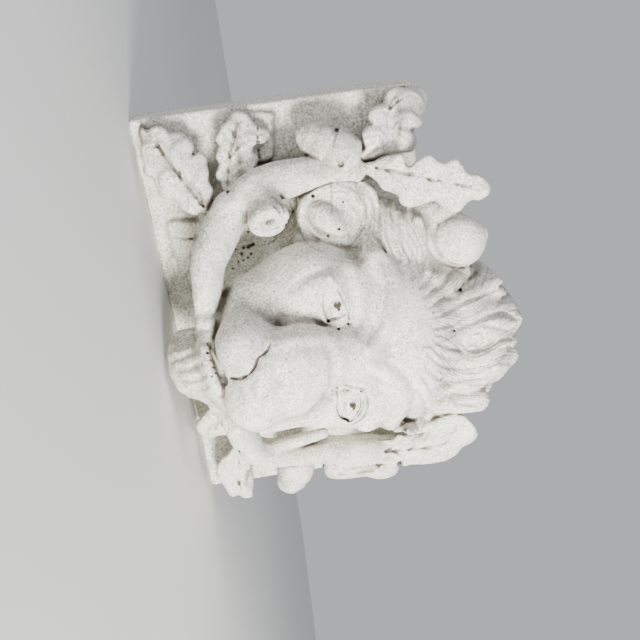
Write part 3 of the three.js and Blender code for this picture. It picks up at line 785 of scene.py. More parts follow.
# each tuft: its root in the head's frame, and half its breadth
BEARD = [(-32, 30, -116, 13), (-19, 15, -120, 14), (-3, 10, -120, 14), (13, 13, -118, 13),
         (26, 22, -114, 10)]
for x, y, z, size in BEARD:
    tuft = from_head([(x, y, z), (0.94 * x - 1, y + 8, z - 20), (0.86 * x - 2, y + 16, z - 38)])
    head.add(stroke(tuft, lambda t: size * (1 - 0.2 * t), lambda t: 1.2 * size), 9)
TOOTH = [(324.5, 431), (325, 436)]
head.add(stroke(lay(head, TOOTH, 1), 6), 1.5)
head.add(stroke(lay(head, BAR, 2), 5), 2)
head.cut(stroke(lay(head, LIP, 1.5), lambda t: 1.5 + 4 * t, count=14), 1)
BEARD_GROOVES = [
    [(330, 444), (335, 454), (341, 466)], [(338, 442), (344, 454), (350, 468)],
    [(350, 438), (354, 452), (360, 466)], [(362, 436), (366, 448), (370, 462)],
    [(374, 432), (378, 444), (380, 458)], [(385, 430), (387, 440), (388, 450)],
]
for path in BEARD_GROOVES:
    head.press(lay(head, path), 5, taper(2.2, 0.2, 0.6))
JAW_HOLES = [(353, 432.5), (360, 429.5), (367, 427), (373, 424.5), (376, 428), (382, 423.5),
             (348, 431)]
drill(head, JAW_HOLES, 1.2, 3)
print("face", round(time.time() - started, 1), "s")

# %% [markdown]
# A flat plate carries everything, and would be set in a wall or fixed to it by its back. The branch
# runs from the corners of the mouth round a bend and up to the leaves on each side. It is a thick
# rounded bough with a sawn twig, acorns in their cups and oak leaves on both ends.

# %% Plate, ground and branch
PLATE_WIDTH = 460
PLATE_HEIGHT = 289
PLATE_THICKNESS = 38
PLATE_CHAMFER = 4
BRANCH_RADIUS = 19
TWIG_RADIUS = 17
GROUND = (-78, -36, -22)
GROUND_STEP = 1.3

block = Clay((-238, -172, -156), (252, 6, 232), GROUND_STEP)
block.add(box(
    (-PLATE_WIDTH / 2, -PLATE_THICKNESS, -PLATE_HEIGHT / 2),
    (PLATE_WIDTH / 2, 20, PLATE_HEIGHT / 2),
    PLATE_CHAMFER,
), 0)
block.add(ellipsoid(GROUND, (92, 30, 84)), 4)

LEFT_RUN = [
    (-40, -146, -97), (-79, -140, -89), (-102, -127, -84), (-119, -114, -73), (-136, -103, -60),
    (-150, -99, -44), (-159, -96, -23), (-163, -94, -2), (-164, -90, 36), (-161, -88, 68),
]
RIGHT_RUN = [
    (20, -150, -100), (58, -146, -89), (98, -128, -83), (130, -112, -79), (146, -102, -62),
    (154, -97, -26), (163, -94, 21), (178, -90, 82),
]


def bough(t):
    """Half the thickness of the left run: slender at the mouth, and again where the leaves spring."""
    return BRANCH_RADIUS * (0.52 + 0.48 * min(1, t / 0.3) - 0.3 * max(0, t - 0.75) / 0.25)


CHEEK_FOLD = [(433, 316), (438, 334), (443, 352), (449, 370), (454, 384)]
block.add(stroke(LEFT_RUN, bough, count=40), 3)
block.add(stroke(RIGHT_RUN, 0.85 * BRANCH_RADIUS, BRANCH_RADIUS, count=34), 3)
block.add(stroke(at_depth(CHEEK_FOLD, -106), taper(9, 0.6, 0.7)), 5)
web = [(x, y / 2 - 10, z) for x, y, z in LEFT_RUN[2:]]
block.add(stroke(web, 8, 34), 6)

# the twig was sawn off: its end has a rim, a dish and the bored pith in the middle
twig_foot, twig_end = np.array([-156.0, -96.0, -26.0]), np.array([-131.0, -130.0, -20.0])
twig_way = (twig_end - twig_foot) / np.linalg.norm(twig_end - twig_foot)
TWIG = [(0, 19), (0.6, 17.5), (0.84, 20), (0.96, 19.5), (1, 17.5)]
DISH_RADIUS, DISH_DEPTH = 12.5, 5
PITH_RADIUS, PITH_BORE = 8, 4.2
BARK = [
    [(196, 360), (204, 353), (214, 350), (226, 352)], [(198, 366), (206, 358), (216, 354), (230, 355)],
    [(206, 366), (211, 360), (220, 355)], [(200, 352), (210, 346), (221, 346)],
]
block.add(turned(twig_foot, twig_end, TWIG), 5)
dish = [twig_end + along_axis * twig_way for along_axis in (9, DISH_RADIUS - DISH_DEPTH)]
block.cut(stroke(dish, DISH_RADIUS), 1)
block.add(stroke([twig_foot, twig_end - (PITH_RADIUS + 1) * twig_way], PITH_RADIUS), 1)
block.cut(stroke([twig_end - 14 * twig_way, twig_end + 4 * twig_way], PITH_BORE), 1)
for path in BARK:
    block.press(lay(block, path), 2.8, taper(2.6, 0.3, 0.3))

# the ground falls away between bough and cheek, and was roughened there with a drill
DEEP_GROUND = [(236, 386), (246, 378), (262, 386), (280, 402), (298, 420), (290, 428), (266, 418),
               (246, 404)]
for clay, depth in ((head, 16), (block, 5)):
    clay.sink(DEEP_GROUND, depth, 14, 40)
HOLE_SEED = 11
HOLE_COUNT = 14
rng = np.random.default_rng(HOLE_SEED)
GROUND_PIXELS = ((234, 384), (268, 408), 7)
low, high, spread = (np.array(v, float) for v in GROUND_PIXELS)
for share in np.linspace(0, 1, HOLE_COUNT):
    pixel = low + (high - low) * share + rng.uniform(-spread, spread, 2)
    drill(block, [pixel], rng.uniform(0.9, 1.5), rng.uniform(1, 3))

ACORN = [(-0.02, 0), (0, 0.45), (0.12, 0.96), (0.32, 1.12), (0.43, 1.1), (0.46, 0.98), (0.62, 0.94),
         (0.8, 0.72), (0.92, 0.42), (0.97, 0.18), (1, 0.06)]
ACORNS = [((-166, -88, 74), (-204, -70, 18), 22), ((166, -90, -24), (232, -66, -51), 20)]
CUP_EDGE = [(121, 305), (132, 303.5), (142.5, 308), (153, 312.5), (159, 318)]
STALK_HOLE = (164.5, 299)
for foot, tip, size in ACORNS:
    block.add(turned(foot, tip, [(share, size * radius) for share, radius in ACORN]), 1.5)
block.press(lay(block, CUP_EDGE), 3.4, 2.4)
drill(block, [STALK_HOLE], 2.0, 3)

# %% [markdown]
# An oak leaf is a thick blade over its midrib: its outline is drawn in the picture, and its middle
# surface curls away from the midrib to each side. The blade swells along each side vein towards its
# lobe, and the veins are then cut along the same lines.

# %% Leaves
# each leaf: its midrib in space, the direction across it, the drop of its two edges, its outline,
# its midrib and the tips of its lobes in the picture (with the share of the midrib where each starts);
# one with a keel is joined to the plate under its midrib
LEAF_THICKNESS = 12
LEAF_EDGE = 5
LEAF_SPREAD = 32
STATIONS = 13
STATION_REACH = 160
STATION_WIDE = 0.1
MOST_DROP = 24
VALLEY_WIDTH, VALLEY_DEPTH = 13, 3.0
LOBE_WIDTH, LOBE_RISE = 9, 5.0
MIDRIB_RADIUS, VEIN_RADIUS = 1.5, 1.2
LEAVES = [
    {   # upright on the left
        "rib": ((-157, -86, 70), (-144, -112, 112), (-135, -138, 186)), "across": (1, 0, 0),
        "crown": (6, 6),
        "outline": [(163, 282), (161, 269), (157, 258), (155, 247), (155, 239), (160, 235), (165, 231),
                    (160, 222), (155.5, 211), (159, 205), (163.5, 196), (160, 190), (159, 184), (165, 178),
                    (172, 176), (173, 168), (174, 160), (180, 151.5), (187, 149), (195, 151.5), (200.5, 160),
                    (200, 168), (205, 175), (211, 180), (212, 189), (207, 198), (201, 206), (205, 218),
                    (208, 230), (205, 239), (196, 243), (192, 250), (187, 258), (177, 268), (171, 282)],
        "midrib": [(166, 275), (171, 247), (178, 217), (182, 197), (185, 177), (186, 158)],
        "lobes": [(0.12, (158, 240)), (0.36, (159, 210)), (0.60, (164, 184)),
                  (0.04, (188, 254)), (0.24, (203, 234)), (0.50, (207, 190)), (0.8, (195, 158))],
    },
    {   # top corner: the upper half stands up, the lower half falls away
        "rib": ((-164, -84, 72), (-177, -86, 106), (-202, -78, 118), (-226, -62, 118)),
        "across": (0.3, 0, 1), "crown": (5, 12), "keel": True,
        "outline": [(86, 247), (87, 232), (87, 219), (94, 213), (103, 211.5), (110, 214), (114, 218),
                    (121, 215), (128, 220), (129, 229), (136, 224), (144, 223.5), (152, 229), (153, 238),
                    (156, 250), (161, 266), (164, 283), (154, 283), (147, 276), (140, 278), (132, 278),
                    (127, 275), (124, 269), (117, 272), (109, 270), (105, 264), (103, 258), (93, 255)],
        "midrib": [(160, 279), (150, 264), (141, 252), (126, 250), (112, 250), (92, 249)],
        "lobes": [(0.42, (142, 228)), (0.60, (121, 220)), (0.84, (97, 218)),
                  (0.34, (135, 273)), (0.60, (112, 266))],
    },
    {   # left side: broad above, narrow and scalloped below
        "rib": ((-144, -94, -54), (-178, -82, -45), (-206, -72, -42), (-226, -60, -38)),
        "across": (0.1, -0.1, 1), "crown": (8, 10), "keel": True,
        "outline": [(203, 404), (191, 402), (181, 397), (174, 389), (165, 384), (156.5, 382), (152, 387),
                    (147, 385), (143, 377), (138, 371), (132, 371), (127, 378), (122, 386), (114, 393),
                    (111, 404), (117, 411), (123, 415), (126, 420), (133, 421), (139, 425), (146, 421),
                    (156, 424), (166, 420), (174, 424), (184, 421), (195, 415), (204, 414)],
        "midrib": [(199, 411), (184, 413), (166, 411), (149, 409.5), (131, 404), (116, 400)],
        "lobes": [(0.24, (168, 389)), (0.52, (139, 376)), (0.36, (173, 419)), (0.56, (155, 419)),
                  (0.76, (137, 420))],
    },
    {   # bottom corner: broad swelling lobes
        "rib": ((-132, -100, -70), (-164, -92, -94), (-188, -82, -110), (-214, -62, -124)),
        "across": (0.5, 0, -1), "crown": (10, 10), "keel": True,
        "outline": [(219, 427), (202, 427), (190, 427), (180, 432), (166, 433), (156, 434.5), (152.5, 441),
                    (156, 448), (147, 446), (137, 452), (132.5, 461), (134, 471), (128, 477), (126, 485),
                    (130, 493), (127, 499), (133, 499.5), (141, 498), (156, 496), (167, 497), (174, 497),
                    (179, 488), (190, 484), (199, 478), (200, 467), (207, 459), (213, 452), (214.5, 440)],
        "midrib": [(213, 430), (195, 446), (177, 460), (157.5, 474.6), (139.6, 487), (129, 498)],
        "lobes": [(0.16, (170, 437)), (0.44, (140, 454)), (0.72, (130, 480)), (0.16, (210, 448)),
                  (0.48, (194, 476)), (0.76, (170, 492))],
    },
    {   # low relief under the left bough
        "rib": ((-112, -46, -86), (-106, -43, -106), (-98, -42, -124)), "across": (1, 0, 0.3),
        "crown": (2, 2),
        "outline": [(221, 435), (234, 441), (250, 445), (258, 450), (257, 465), (244, 469), (222, 473),
                    (220, 455)],
        "midrib": [(238, 438), (239, 454), (237, 470)],
        "lobes": [],
    },
    {   # rough pad behind the tip of the leaf on the left side
        "rib": ((-238, -42, -12), (-205, -44, -14), (-180, -47, -16)), "across": (0, 0, 1),
        "crown": (1, 4),
        "outline": [(112, 366), (134, 366), (158, 368), (163, 378), (158, 390), (140, 396), (116, 398),
                    (110, 384)],
        "midrib": [(162, 381), (140, 382), (114, 383)],
        "lobes": [],
    },
    {   # upright on the right
        "rib": ((178, -92, 66), (176, -112, 112), (142, -136, 176)), "across": (1, 0.5, 0),
        "crown": (14, 14),
        "outline": [(440, 262), (437, 247), (433, 234), (430, 224), (428, 214), (420, 205), (414, 194),
                    (412.5, 184), (416, 175), (422, 169), (428, 164), (435, 162.5), (441, 167),
                    (447, 177), (455, 184),
                    (460, 193), (464, 206), (468, 220), (472, 231), (472.5, 238), (466, 243), (461, 252),
                    (456, 262)],
        "midrib": [(452, 262), (450, 230), (446, 202), (437, 176)],
        "lobes": [(0.1, (435, 240)), (0.4, (426, 212)), (0.75, (419, 182)), (0.2, (468, 236)),
                  (0.5, (459, 196))],
    },
    {   # hanging at the right edge
        "rib": ((186, -86, 90), (212, -80, 56), (220, -70, 25), (220, -58, -2)), "across": (1, 0.2, 0.2),
        "crown": (8, 8), "keel": True,
        "outline": [(460, 243), (468, 242), (478.5, 246), (480, 260), (476, 274), (478, 290), (479, 305),
                    (475, 314), (464, 316), (456, 314), (457, 300), (455, 280), (455, 260)],
        "midrib": [(463, 246), (466, 275), (468, 306)],
        "lobes": [(0.3, (476, 252)), (0.6, (474, 288)), (0.85, (472, 309))],
    },
    {   # right bottom corner
        "rib": ((138, -104, -72), (184, -86, -94), (232, -62, -100)), "across": (0.1, 0.2, 1),
        "crown": (12, 12), "keel": True,
        "outline": [(444, 396), (454, 388), (468, 388), (482, 386), (491, 388), (498.5, 385), (500, 393),
                    (495, 401), (497.5, 408), (487, 416), (475, 423.5), (464, 422.5), (455, 413),
                    (447, 406)],
        "midrib": [(447, 400), (470, 404), (495, 397)],
        "lobes": [(0.3, (466, 392)), (0.7, (494, 390)), (0.4, (462, 416)), (0.8, (488, 412))],
    },
    {   # under the right bough
        "rib": ((66, -136, -86), (80, -120, -104), (90, -102, -130)), "across": (1, 0.4, 0),
        "crown": (8, 8),
        "outline": [(402, 412), (406, 424), (412, 435), (423, 443.5), (433, 441), (440, 434), (444, 424),
                    (448, 412), (440, 402), (420, 404)],
        "midrib": [(424, 408), (424, 424), (424, 438)],
        "lobes": [(0.3, (412, 430)), (0.4, (438, 430))],
    },
]


def blade(outline, centre, frame, crown):
    """A blade inside an outline in the picture, curled about the midrib by the crown on each side."""
    tangents, levels, normals = frame
    inside = outline_map(outline)

    def distance(x, y, z):
        u, v, away = seen(x, y, z)
        edge = inside(u, v) * away / FOCAL_PIXELS
        total, rise = 1e-30, 0
        for at, tangent, level, normal in zip(centre, tangents, levels, normals):
            px, py, pz = x - at[0], y - at[1], z - at[2]
            forth = px * tangent[0] + py * tangent[1] + pz * tangent[2]
            out = px * level[0] + py * level[1] + pz * level[2]
            up = px * normal[0] + py * normal[1] + pz * normal[2]
            square = forth * forth + STATION_WIDE * (out * out + up * up)
            near = np.exp(-np.minimum(square / STATION_REACH, 60))
            drop = np.where(out > 0, crown[0], crown[1]) * (out / LEAF_SPREAD) ** 2
            rise = rise + near * (up + np.minimum(drop, MOST_DROP))
            total = total + near
        flat = np.abs(rise / total) - LEAF_THICKNESS / 2
        return -melt(-flat, -edge, LEAF_EDGE)

    corners = np.vstack([centre + 30 * levels, centre - 30 * levels])
    return {"low": corners.min(0) - 14, "high": corners.max(0) + 14, "distance": distance}


def leaf(rib, across, crown, outline, midrib, lobes, keel=False):
    """Builds a leaf and gives back the paths of its veins in the picture."""
    path = spline(rib, STATIONS)
    tangents = np.gradient(path, axis=0)
    tangents /= np.linalg.norm(tangents, axis=1, keepdims=True)
    side = np.array(across, float) / np.linalg.norm(across)
    if np.cross(side, tangents[STATIONS // 2]) @ FRONT < 0:
        side = -side
    normals = np.cross(side, tangents)
    normals /= np.linalg.norm(normals, axis=1, keepdims=True)
    levels = np.cross(normals, tangents)
    centre = path - LEAF_THICKNESS / 2 * normals
    block.add(blade(outline, centre, (tangents, levels, normals), crown), 2)
    if keel:
        low = path[2:-1:2].copy()
        spans = (-low[:, 1] - PLATE_THICKNESS) / 2
        low[:, 1] = -PLATE_THICKNESS - spans
        shares = np.linspace(0, 1, len(spans))
        block.add(stroke(low, 5, lambda t: max(6, np.interp(t, shares, spans) - 1), FRONT), 4)
    middle = spline(midrib, STATIONS)
    veins = [middle[1:-1]]
    for share, tip in lobes:
        foot = middle[int((STATIONS - 1) * share)]
        bend = foot + 0.5 * (tip - foot) + 0.12 * (middle[-1] - middle[0]) * min(1, share + 0.4)
        veins.append(np.array([foot, bend, foot + 0.92 * (np.array(tip) - foot)]))
    return veins


for one in LEAVES:
    veins = leaf(**one)
    block.press(lay(block, veins[0]), VALLEY_WIDTH, taper(VALLEY_DEPTH, 0.8, 0.2))
    for vein in veins[1:]:
        block.press(lay(block, vein), LOBE_WIDTH, taper(-LOBE_RISE, 0.3, 0.7))
    for number, vein in enumerate(veins):
        width = MIDRIB_RADIUS if number == 0 else VEIN_RADIUS
        block.cut(stroke(lay(block, vein, 0.1), lambda t: width * (1 - 0.4 * t), count=12), 1)

# hollows and swellings of single leaves: path in the picture, width, depth (negative: height)
WAVES = [
    ([(426, 186), (433, 197), (431, 210), (434, 226), (440, 242)], 13, 6),
    ([(447, 184), (453, 200), (459, 220), (465, 238)], 12, -4),
    ([(420, 176), (430, 170), (440, 172)], 9, -3),
    ([(113, 251), (124, 250), (142, 248), (151, 253)], 9, 3),
    ([(462, 262), (466, 280), (462, 300)], 8, 4),
    ([(458, 404), (470, 406), (482, 400)], 8, 4),
    ([(416, 418), (425, 428), (430, 438)], 7, 3),
]
for path, width, depth in WAVES:
    block.press(lay(block, path), width, taper(depth, 0.5, 0.5))
print("leaves", round(time.time() - started, 1), "s")

# %% [markdown]
# The two ends of the branch run into the corners of the mouth. The head gets the same strokes, a little
# thinner, so that only the rounded seam round them shows.

# %% Seams of branch and head
SEAM_GAP = 0.7
head.add(stroke(LEFT_RUN, lambda t: bough(t) - SEAM_GAP if t < 0.35 else 1, count=40), 9)
head.add(stroke(RIGHT_RUN[:3], 0.85 * BRANCH_RADIUS - SEAM_GAP, BRANCH_RADIUS - SEAM_GAP), 9)

# %% [markdown]
# Stone is never as smooth as the clay model: pouring, handling and weather leave low swellings in it.
# Random numbers on a coarse lattice, drawn smoothly between its points, give them in two sizes.

# %% Worn surface
SEED = 7
BROAD_MM, BROAD_CELL = 0.8, 18
FINE_MM, FINE_CELL = 0.4, 6
HEAD_BACK = 14 - PLATE_THICKNESS


def swelling(clay, cell, seed):
    """Smooth random values on the clay's grid, from a lattice of cells of this many millimetres."""
    count = [int(len(axis) * clay.step / cell) + 3 for axis in clay.axes]
    values = np.random.default_rng(seed).uniform(-1, 1, count)
    for axis in clay.axes:
        place = (axis - axis[0]) / cell
        whole = place.astype(int)
        part = place - whole
        part = (part * part * (3 - 2 * part))[:, None, None]
        values = values[whole] * (1 - part) + values[whole + 1] * part
        values = np.moveaxis(values, 0, 2)
    return values.astype(np.float32)


# the back is cut flat, and the head ends inside the plate
for clay, back in ((head, HEAD_BACK), (block, 0)):
    clay.field += BROAD_MM * swelling(clay, BROAD_CELL, SEED) + FINE_MM * swelling(clay, FINE_CELL, SEED + 1)
    clay.field = np.maximum(clay.field, clay.axes[1][None, :, None] - back)
print("surface", round(time.time() - started, 1), "s")

# %% [markdown]
# The skin of the clay becomes a mesh by surface nets: each cell of the grid that the surface crosses
# gets one corner, at the mean of the crossings on its edges, and each crossed edge one four-sided face.

# %% Skin
def skin(clay):
    field = clay.field
    inside = field < 0
    shape = np.array(field.shape)
    cells, places, faces = [], [], []
    for axis in range(3):
        near = [slice(None)] * 3
        near[axis] = slice(None, -1)
        far = [slice(None)] * 3
        far[axis] = slice(1, None)
        near, far = tuple(near), tuple(far)
        at = np.argwhere(inside[near] != inside[far])
        step = np.zeros(3, int)
        step[axis] = 1
        a, b = field[tuple(at.T)], field[tuple((at + step).T)]
        place = at.astype(float)
        place[:, axis] += a / (a - b)
        second, third = np.zeros(3, int), np.zeros(3, int)
        second[(axis + 1) % 3] = 1
        third[(axis + 2) % 3] = 1
        ring = [at - second - third, at - third, at, at - second]
        ids = [np.ravel_multi_index(corner.T, shape) for corner in ring]
        quad = np.column_stack(ids)
        flip = field[tuple(at.T)] > 0
        quad[flip] = quad[flip][:, ::-1]
        faces.append(quad)
        cells.extend(ids)
        places.extend([place] * 4)
    cells = np.concatenate(cells)
    places = np.concatenate(places)
    used, index = np.unique(cells, return_inverse=True)
    count = np.bincount(index)
    corners = np.column_stack([np.bincount(index, places[:, i]) / count for i in range(3)])
    faces = np.searchsorted(used, np.concatenate(faces))
    return clay.low + clay.step * corners, faces


def to_object(name, corners, faces):
    corners = np.clip(corners, CAD_LOW, CAD_HIGH)
    mesh = bpy.data.meshes.new(name)
    mesh.from_pydata((corners / 1000).tolist(), [], faces.tolist())
    mesh.update()
    made = bpy.data.objects.new(name, mesh)
    bpy.context.scene.collection.objects.link(made)
    return made


def thin(made, most):
    """Fewer triangles where the surface is even, down to the number given as most."""
    made.data.calc_loop_triangles()
    triangles = len(made.data.loop_triangles)
    if triangles > most:
        fewer = made.modifiers.new("fewer", "DECIMATE")
        fewer.ratio = most / triangles
        fewer.use_collapse_triangulate = True
        graph = bpy.context.evaluated_depsgraph_get()
        mesh = bpy.data.meshes.new_from_object(made.evaluated_get(graph))
        made.modifiers.clear()
        made.data = mesh
    made.data.shade_smooth()
    made.data.calc_loop_triangles()
    print(made.name, triangles, "->", len(made.data.loop_triangles), "triangles")


MOST_TRIANGLES = 190000
pieces = []
for name, clay in (("lion_head", head), ("plate_branch_and_leaves", block)):
    piece = to_object(name, *skin(clay))
    thin(piece, MOST_TRIANGLES)
    pieces.append(piece)
print("skins", round(time.time() - started, 1), "s")

# %% [markdown]
# Hollows are darkened with painted shade, with some dirt: the script looks outwards from every corner of
# the mesh and notes how near other stone is. The stone material reads that number as "hollow", and a nearer
# look as "crease", for painted shade in narrow cuts.

# %% Hollows
CREASE_MM = 2.5
LOOKS_MM = (5.0, 9.0, 16.0)


def of_corners(piece, what):
    """A vector of every corner of a mesh: its place or its normal."""
    values = np.empty(len(piece.data.vertices) * 3)
    piece.data.vertices.foreach_get(what, values)
    return values.reshape(-1, 3)


def hollows(piece):
    places, normals = 1000 * of_corners(piece, "co"), of_corners(piece, "normal")
    closed = np.zeros(len(places))
    for look in LOOKS_MM:
        spot = places + look * normals
        free = np.minimum(head.sample(spot), block.sample(spot))
        closed += np.clip(1 - free / look, 0, 1) / len(LOOKS_MM)
    # a nearer look, for painted shade in narrow cuts and seams
    spot = places + CREASE_MM * normals
    crease = np.clip(1 - np.minimum(head.sample(spot), block.sample(spot)) / CREASE_MM, 0, 1)
    for name, values in (("hollow", closed), ("crease", crease)):
        piece.data.attributes.new(name, "FLOAT", "POINT").data.foreach_set("value", values)
    print(piece.name, "mean hollow", round(float(closed.mean()), 3))


# %% [markdown]
# The finest lines of the mane are comb marks, too fine for the grid. Each corner notes how far it lies
# across and along the combing, which fans out from the forehead and winds round the curl, and how much
# of a comb it feels: none on the face and the ears.

# %% Comb marks
FACE_OUTLINE = [(268, 228), (284, 220), (305, 213), (328, 208), (352, 209), (376, 213), (400, 220),
                (424, 235), (438, 262), (442, 300), (430, 350), (430, 380), (405, 420), (380, 470),
                (330, 470), (290, 440), (226, 400), (232, 350), (254, 330), (252, 290), (256, 250)]
COMB_CENTRE = (328, 242)
CURL_MIDDLE = (215, 308)
CURL_REACH = 36
EAR_MIDDLE = (241, 183)
EAR_REACH = 30
COMB_TOOTH_MM = 2.4
COMB_RUN_MM = 34
MM_PER_PIXEL = 1.06


def comb(piece):
    u, v, _ = seen(*(1000 * of_corners(piece, "co")).T)
    radius = np.hypot(u - COMB_CENTRE[0], v - COMB_CENTRE[1])
    angle = np.arctan2(u - COMB_CENTRE[0], COMB_CENTRE[1] - v) + 0.14 * np.sin(radius / 15)
    across, along_it = 85 * angle, radius
    ring = np.hypot(u - CURL_MIDDLE[0], v - CURL_MIDDLE[1])
    ring = ring + 2.5 * np.sin(2 * np.arctan2(v - CURL_MIDDLE[1], u - CURL_MIDDLE[0]) + ring / 9)
    curled = ring < CURL_REACH
    across = np.where(curled, ring, across) * MM_PER_PIXEL / COMB_TOOTH_MM
    spin = CURL_REACH * np.arctan2(v - CURL_MIDDLE[1], u - CURL_MIDDLE[0])
    along_it = np.where(curled, spin, along_it) * MM_PER_PIXEL / COMB_RUN_MM
    off_ear = np.hypot(u - EAR_MIDDLE[0], v - EAR_MIDDLE[1]) - EAR_REACH
    felt = np.clip(outline_map(FACE_OUTLINE)(u, v) / 12, 0, 1) * np.clip(off_ear / 4, 0, 1)
    if piece.name != "lion_head":
        felt = 0 * felt
    values = np.column_stack([across, along_it, 0 * across]).ravel()
    piece.data.attributes.new("comb", "FLOAT_VECTOR", "POINT").data.foreach_set("vector", values)
    piece.data.attributes.new("combed", "FLOAT", "POINT").data.foreach_set("value", felt)


for piece in pieces:
    hollows(piece)
    comb(piece)

# %% [markdown]
# The material is cast stone: pale cement and crushed limestone, tamped into a mould. It is matt, with a
# sandy grain, small blown pores and warm and cool clouds. Its colour also carries painted shade: grey-brown
# in the hollows (with some dirt), dark in cut lines, comb grooves and pores, and greyer on faces that look
# up.

# %% Cast stone
def linear(code):
    """An sRGB hex colour as linear values."""
    parts = [int(code[i:i + 2], 16) / 255 for i in (1, 3, 5)]
    return [p / 12.92 if p <= 0.04045 else ((p + 0.055) / 1.055) ** 2.4 for p in parts] + [1]


def node(tree, kind, inputs=None, **settings):
    """Adds a node with its settings, its plain values and its links."""
    made = tree.nodes.new(kind)
    for key, value in settings.items():
        setattr(made, key, value)
    for key, value in (inputs or {}).items():
        if isinstance(value, bpy.types.NodeSocket):
            tree.links.new(value, made.inputs[key])
        else:
            made.inputs[key].default_value = value
    return made


def per_mm(size):
    """The scale of a noise whose features are this many millimetres across."""
    return 1000 / size


stone = bpy.data.materials.new("cast_stone")
stone.use_nodes = True
tree = stone.node_tree
tree.nodes.clear()
place = node(tree, "ShaderNodeTexCoord").outputs["Object"]
cloud = node(tree, "ShaderNodeTexNoise", {"Vector": place, "Scale": per_mm(45), "Detail": 5})
fleck = node(tree, "ShaderNodeTexNoise", {
    "Vector": place, "Scale": per_mm(7), "Detail": 6, "Roughness": 0.7})
grain = node(tree, "ShaderNodeTexNoise", {
    "Vector": place, "Scale": per_mm(2.3), "Detail": 5, "Roughness": 0.75})
pore = node(tree, "ShaderNodeTexVoronoi", {"Vector": place, "Scale": per_mm(11)})
hollow = node(tree, "ShaderNodeAttribute", attribute_name="hollow").outputs["Fac"]
crease = node(tree, "ShaderNodeAttribute", attribute_name="crease").outputs["Fac"]
comb_place = node(tree, "ShaderNodeAttribute", attribute_name="comb").outputs["Vector"]
combed = node(tree, "ShaderNodeAttribute", attribute_name="combed").outputs["Fac"]
marks = node(tree, "ShaderNodeTexNoise", {"Vector": comb_place, "Scale": 1.0, "Detail": 2})


def part_of(value, low, high, most=1.0, least=0.0):
    """A mixing factor that goes from least to most while a value goes from low to high."""
    made = node(tree, "ShaderNodeMapRange", {
        "Value": value, "From Min": low, "From Max": high, "To Min": least, "To Max": most})
    return made.outputs["Result"]


def mixed(factor, first, second):
    """One colour over another, by a factor."""
    made = node(tree, "ShaderNodeMix", {"Factor": factor, "A": first, "B": second}, data_type="RGBA")
    return made.outputs[2]


# cement and limestone, clouded; grains of sand lighter and darker than it
colour = mixed(part_of(cloud.outputs["Fac"], 0.38, 0.62), linear("#dedbcd"), linear("#c9c5b8"))
colour = mixed(part_of(fleck.outputs["Fac"], 0.48, 0.66, 0.6), colour, linear("#b3ad9b"))
colour = mixed(part_of(grain.outputs["Fac"], 0.50, 0.58, 0.9), colour, linear("#f8f6ec"))
colour = mixed(part_of(grain.outputs["Fac"], 0.48, 0.37, 0.7), colour, linear("#827d6f"))
# faces that look up are painted greyer: painted shade
normal = node(tree, "ShaderNodeNewGeometry").outputs["Normal"]
upward = node(tree, "ShaderNodeSeparateXYZ", {"Vector": normal}).outputs["Z"]
colour = mixed(part_of(upward, 0.0, 0.85, 0.55), colour, linear("#9d9c9b"))
# painted shade darkens hollows (with some dirt), cut lines, the grooves between comb marks and pores
colour = mixed(part_of(hollow, 0.5, 1.0, 0.7), colour, linear("#776d5b"))
colour = mixed(part_of(hollow, 0.86, 1.0, 0.8), colour, linear("#3d372d"))
# painted shade in narrow cuts and seams, where stone lies close in front of the skin
colour = mixed(part_of(crease, 0.06, 0.6, 0.95), colour, linear("#4f473a"))
# painted shade in the grooves of the comb marks, which the bump below also presses in
line = node(tree, "ShaderNodeMath", {0: combed, 1: part_of(marks.outputs["Fac"], 0.47, 0.34, 0.6)},
            operation="MULTIPLY").outputs["Value"]
colour = mixed(line, colour, linear("#8b8371"))
# painted shade in the pits of the pores, which the bump below also sinks
speck = part_of(pore.outputs["Distance"], 0.05, 0.11, 0.0, 0.85)
colour = mixed(speck, colour, linear("#6e6656"))

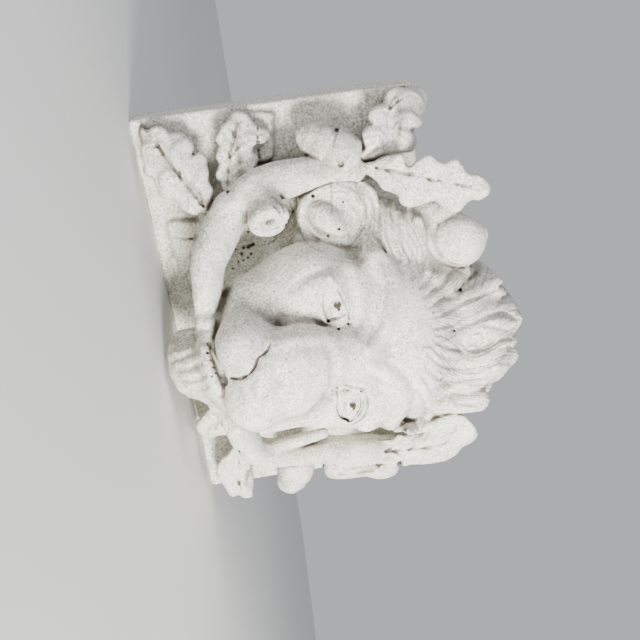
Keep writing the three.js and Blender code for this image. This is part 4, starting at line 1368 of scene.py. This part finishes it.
relief = node(tree, "ShaderNodeMath", {0: combed, 1: marks.outputs["Fac"]}, operation="MULTIPLY")
lined = node(tree, "ShaderNodeBump", {"Height": relief.outputs["Value"], "Strength": 1.0, "Distance": 0.0024})
rough = node(tree, "ShaderNodeBump", {
    "Height": grain.outputs["Fac"], "Normal": lined.outputs["Normal"], "Strength": 0.8, "Distance": 0.001})
pitted = node(tree, "ShaderNodeBump", {
    "Height": speck, "Normal": rough.outputs["Normal"], "Strength": 0.6, "Distance": 0.001}, invert=True)
shader = node(tree, "ShaderNodeBsdfPrincipled", {
    "Base Color": colour, "Normal": pitted.outputs["Normal"],
    "Roughness": 0.92, "IOR": 1.5, "Metallic": 0.0, "Specular IOR Level": 0.3})
node(tree, "ShaderNodeOutputMaterial", {"Surface": shader.outputs["BSDF"]})

for piece in pieces:
    piece.data.materials.append(stone)
    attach(piece, "root")
    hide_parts("lion_head_block")

# %% [markdown]
# A pale floor under the block and soft light from above and in front, as on an overcast day.

# %% Floor and light
floor_mesh = bpy.data.meshes.new("floor")
outline = bmesh.new()
bmesh.ops.create_grid(outline, x_segments=1, y_segments=1, size=4)
bmesh.ops.translate(outline, verts=outline.verts, vec=(0, 0, cad_bounds[0][2]))
outline.to_mesh(floor_mesh)
floor = bpy.data.objects.new("floor", floor_mesh)
bpy.context.scene.collection.objects.link(floor)
pale = bpy.data.materials.new("pale_floor")
pale.use_nodes = True
pale_shader = pale.node_tree.nodes["Principled BSDF"]
pale_shader.inputs["Base Color"].default_value = linear("#d8d8d6")
pale_shader.inputs["Roughness"].default_value = 0.8
floor_mesh.materials.append(pale)

world = bpy.data.worlds.new("overcast")
bpy.context.scene.world = world
world.use_nodes = True
world.node_tree.nodes["Background"].inputs["Color"].default_value = linear("#e6e9ee")
world.node_tree.nodes["Background"].inputs["Strength"].default_value = 0.66


def lamp(name, place, watts, size, colour):
    data = bpy.data.lights.new(name, "AREA")
    data.energy = watts
    data.size = size
    data.color = linear(colour)[:3]
    made = bpy.data.objects.new(name, data)
    made.location = place
    made.rotation_euler = (-Vector(place)).to_track_quat("-Z", "Y").to_euler()
    bpy.context.scene.collection.objects.link(made)


lamp("key", (0.5, -1.5, 0.08), 80, 0.4, "#fcfcf6")
lamp("top", (-1.0, -0.9, 0.7), 9, 0.8, "#f4f6ff")

bpy.context.view_layer.update()
print("ready", round(time.time() - started, 1), "s")
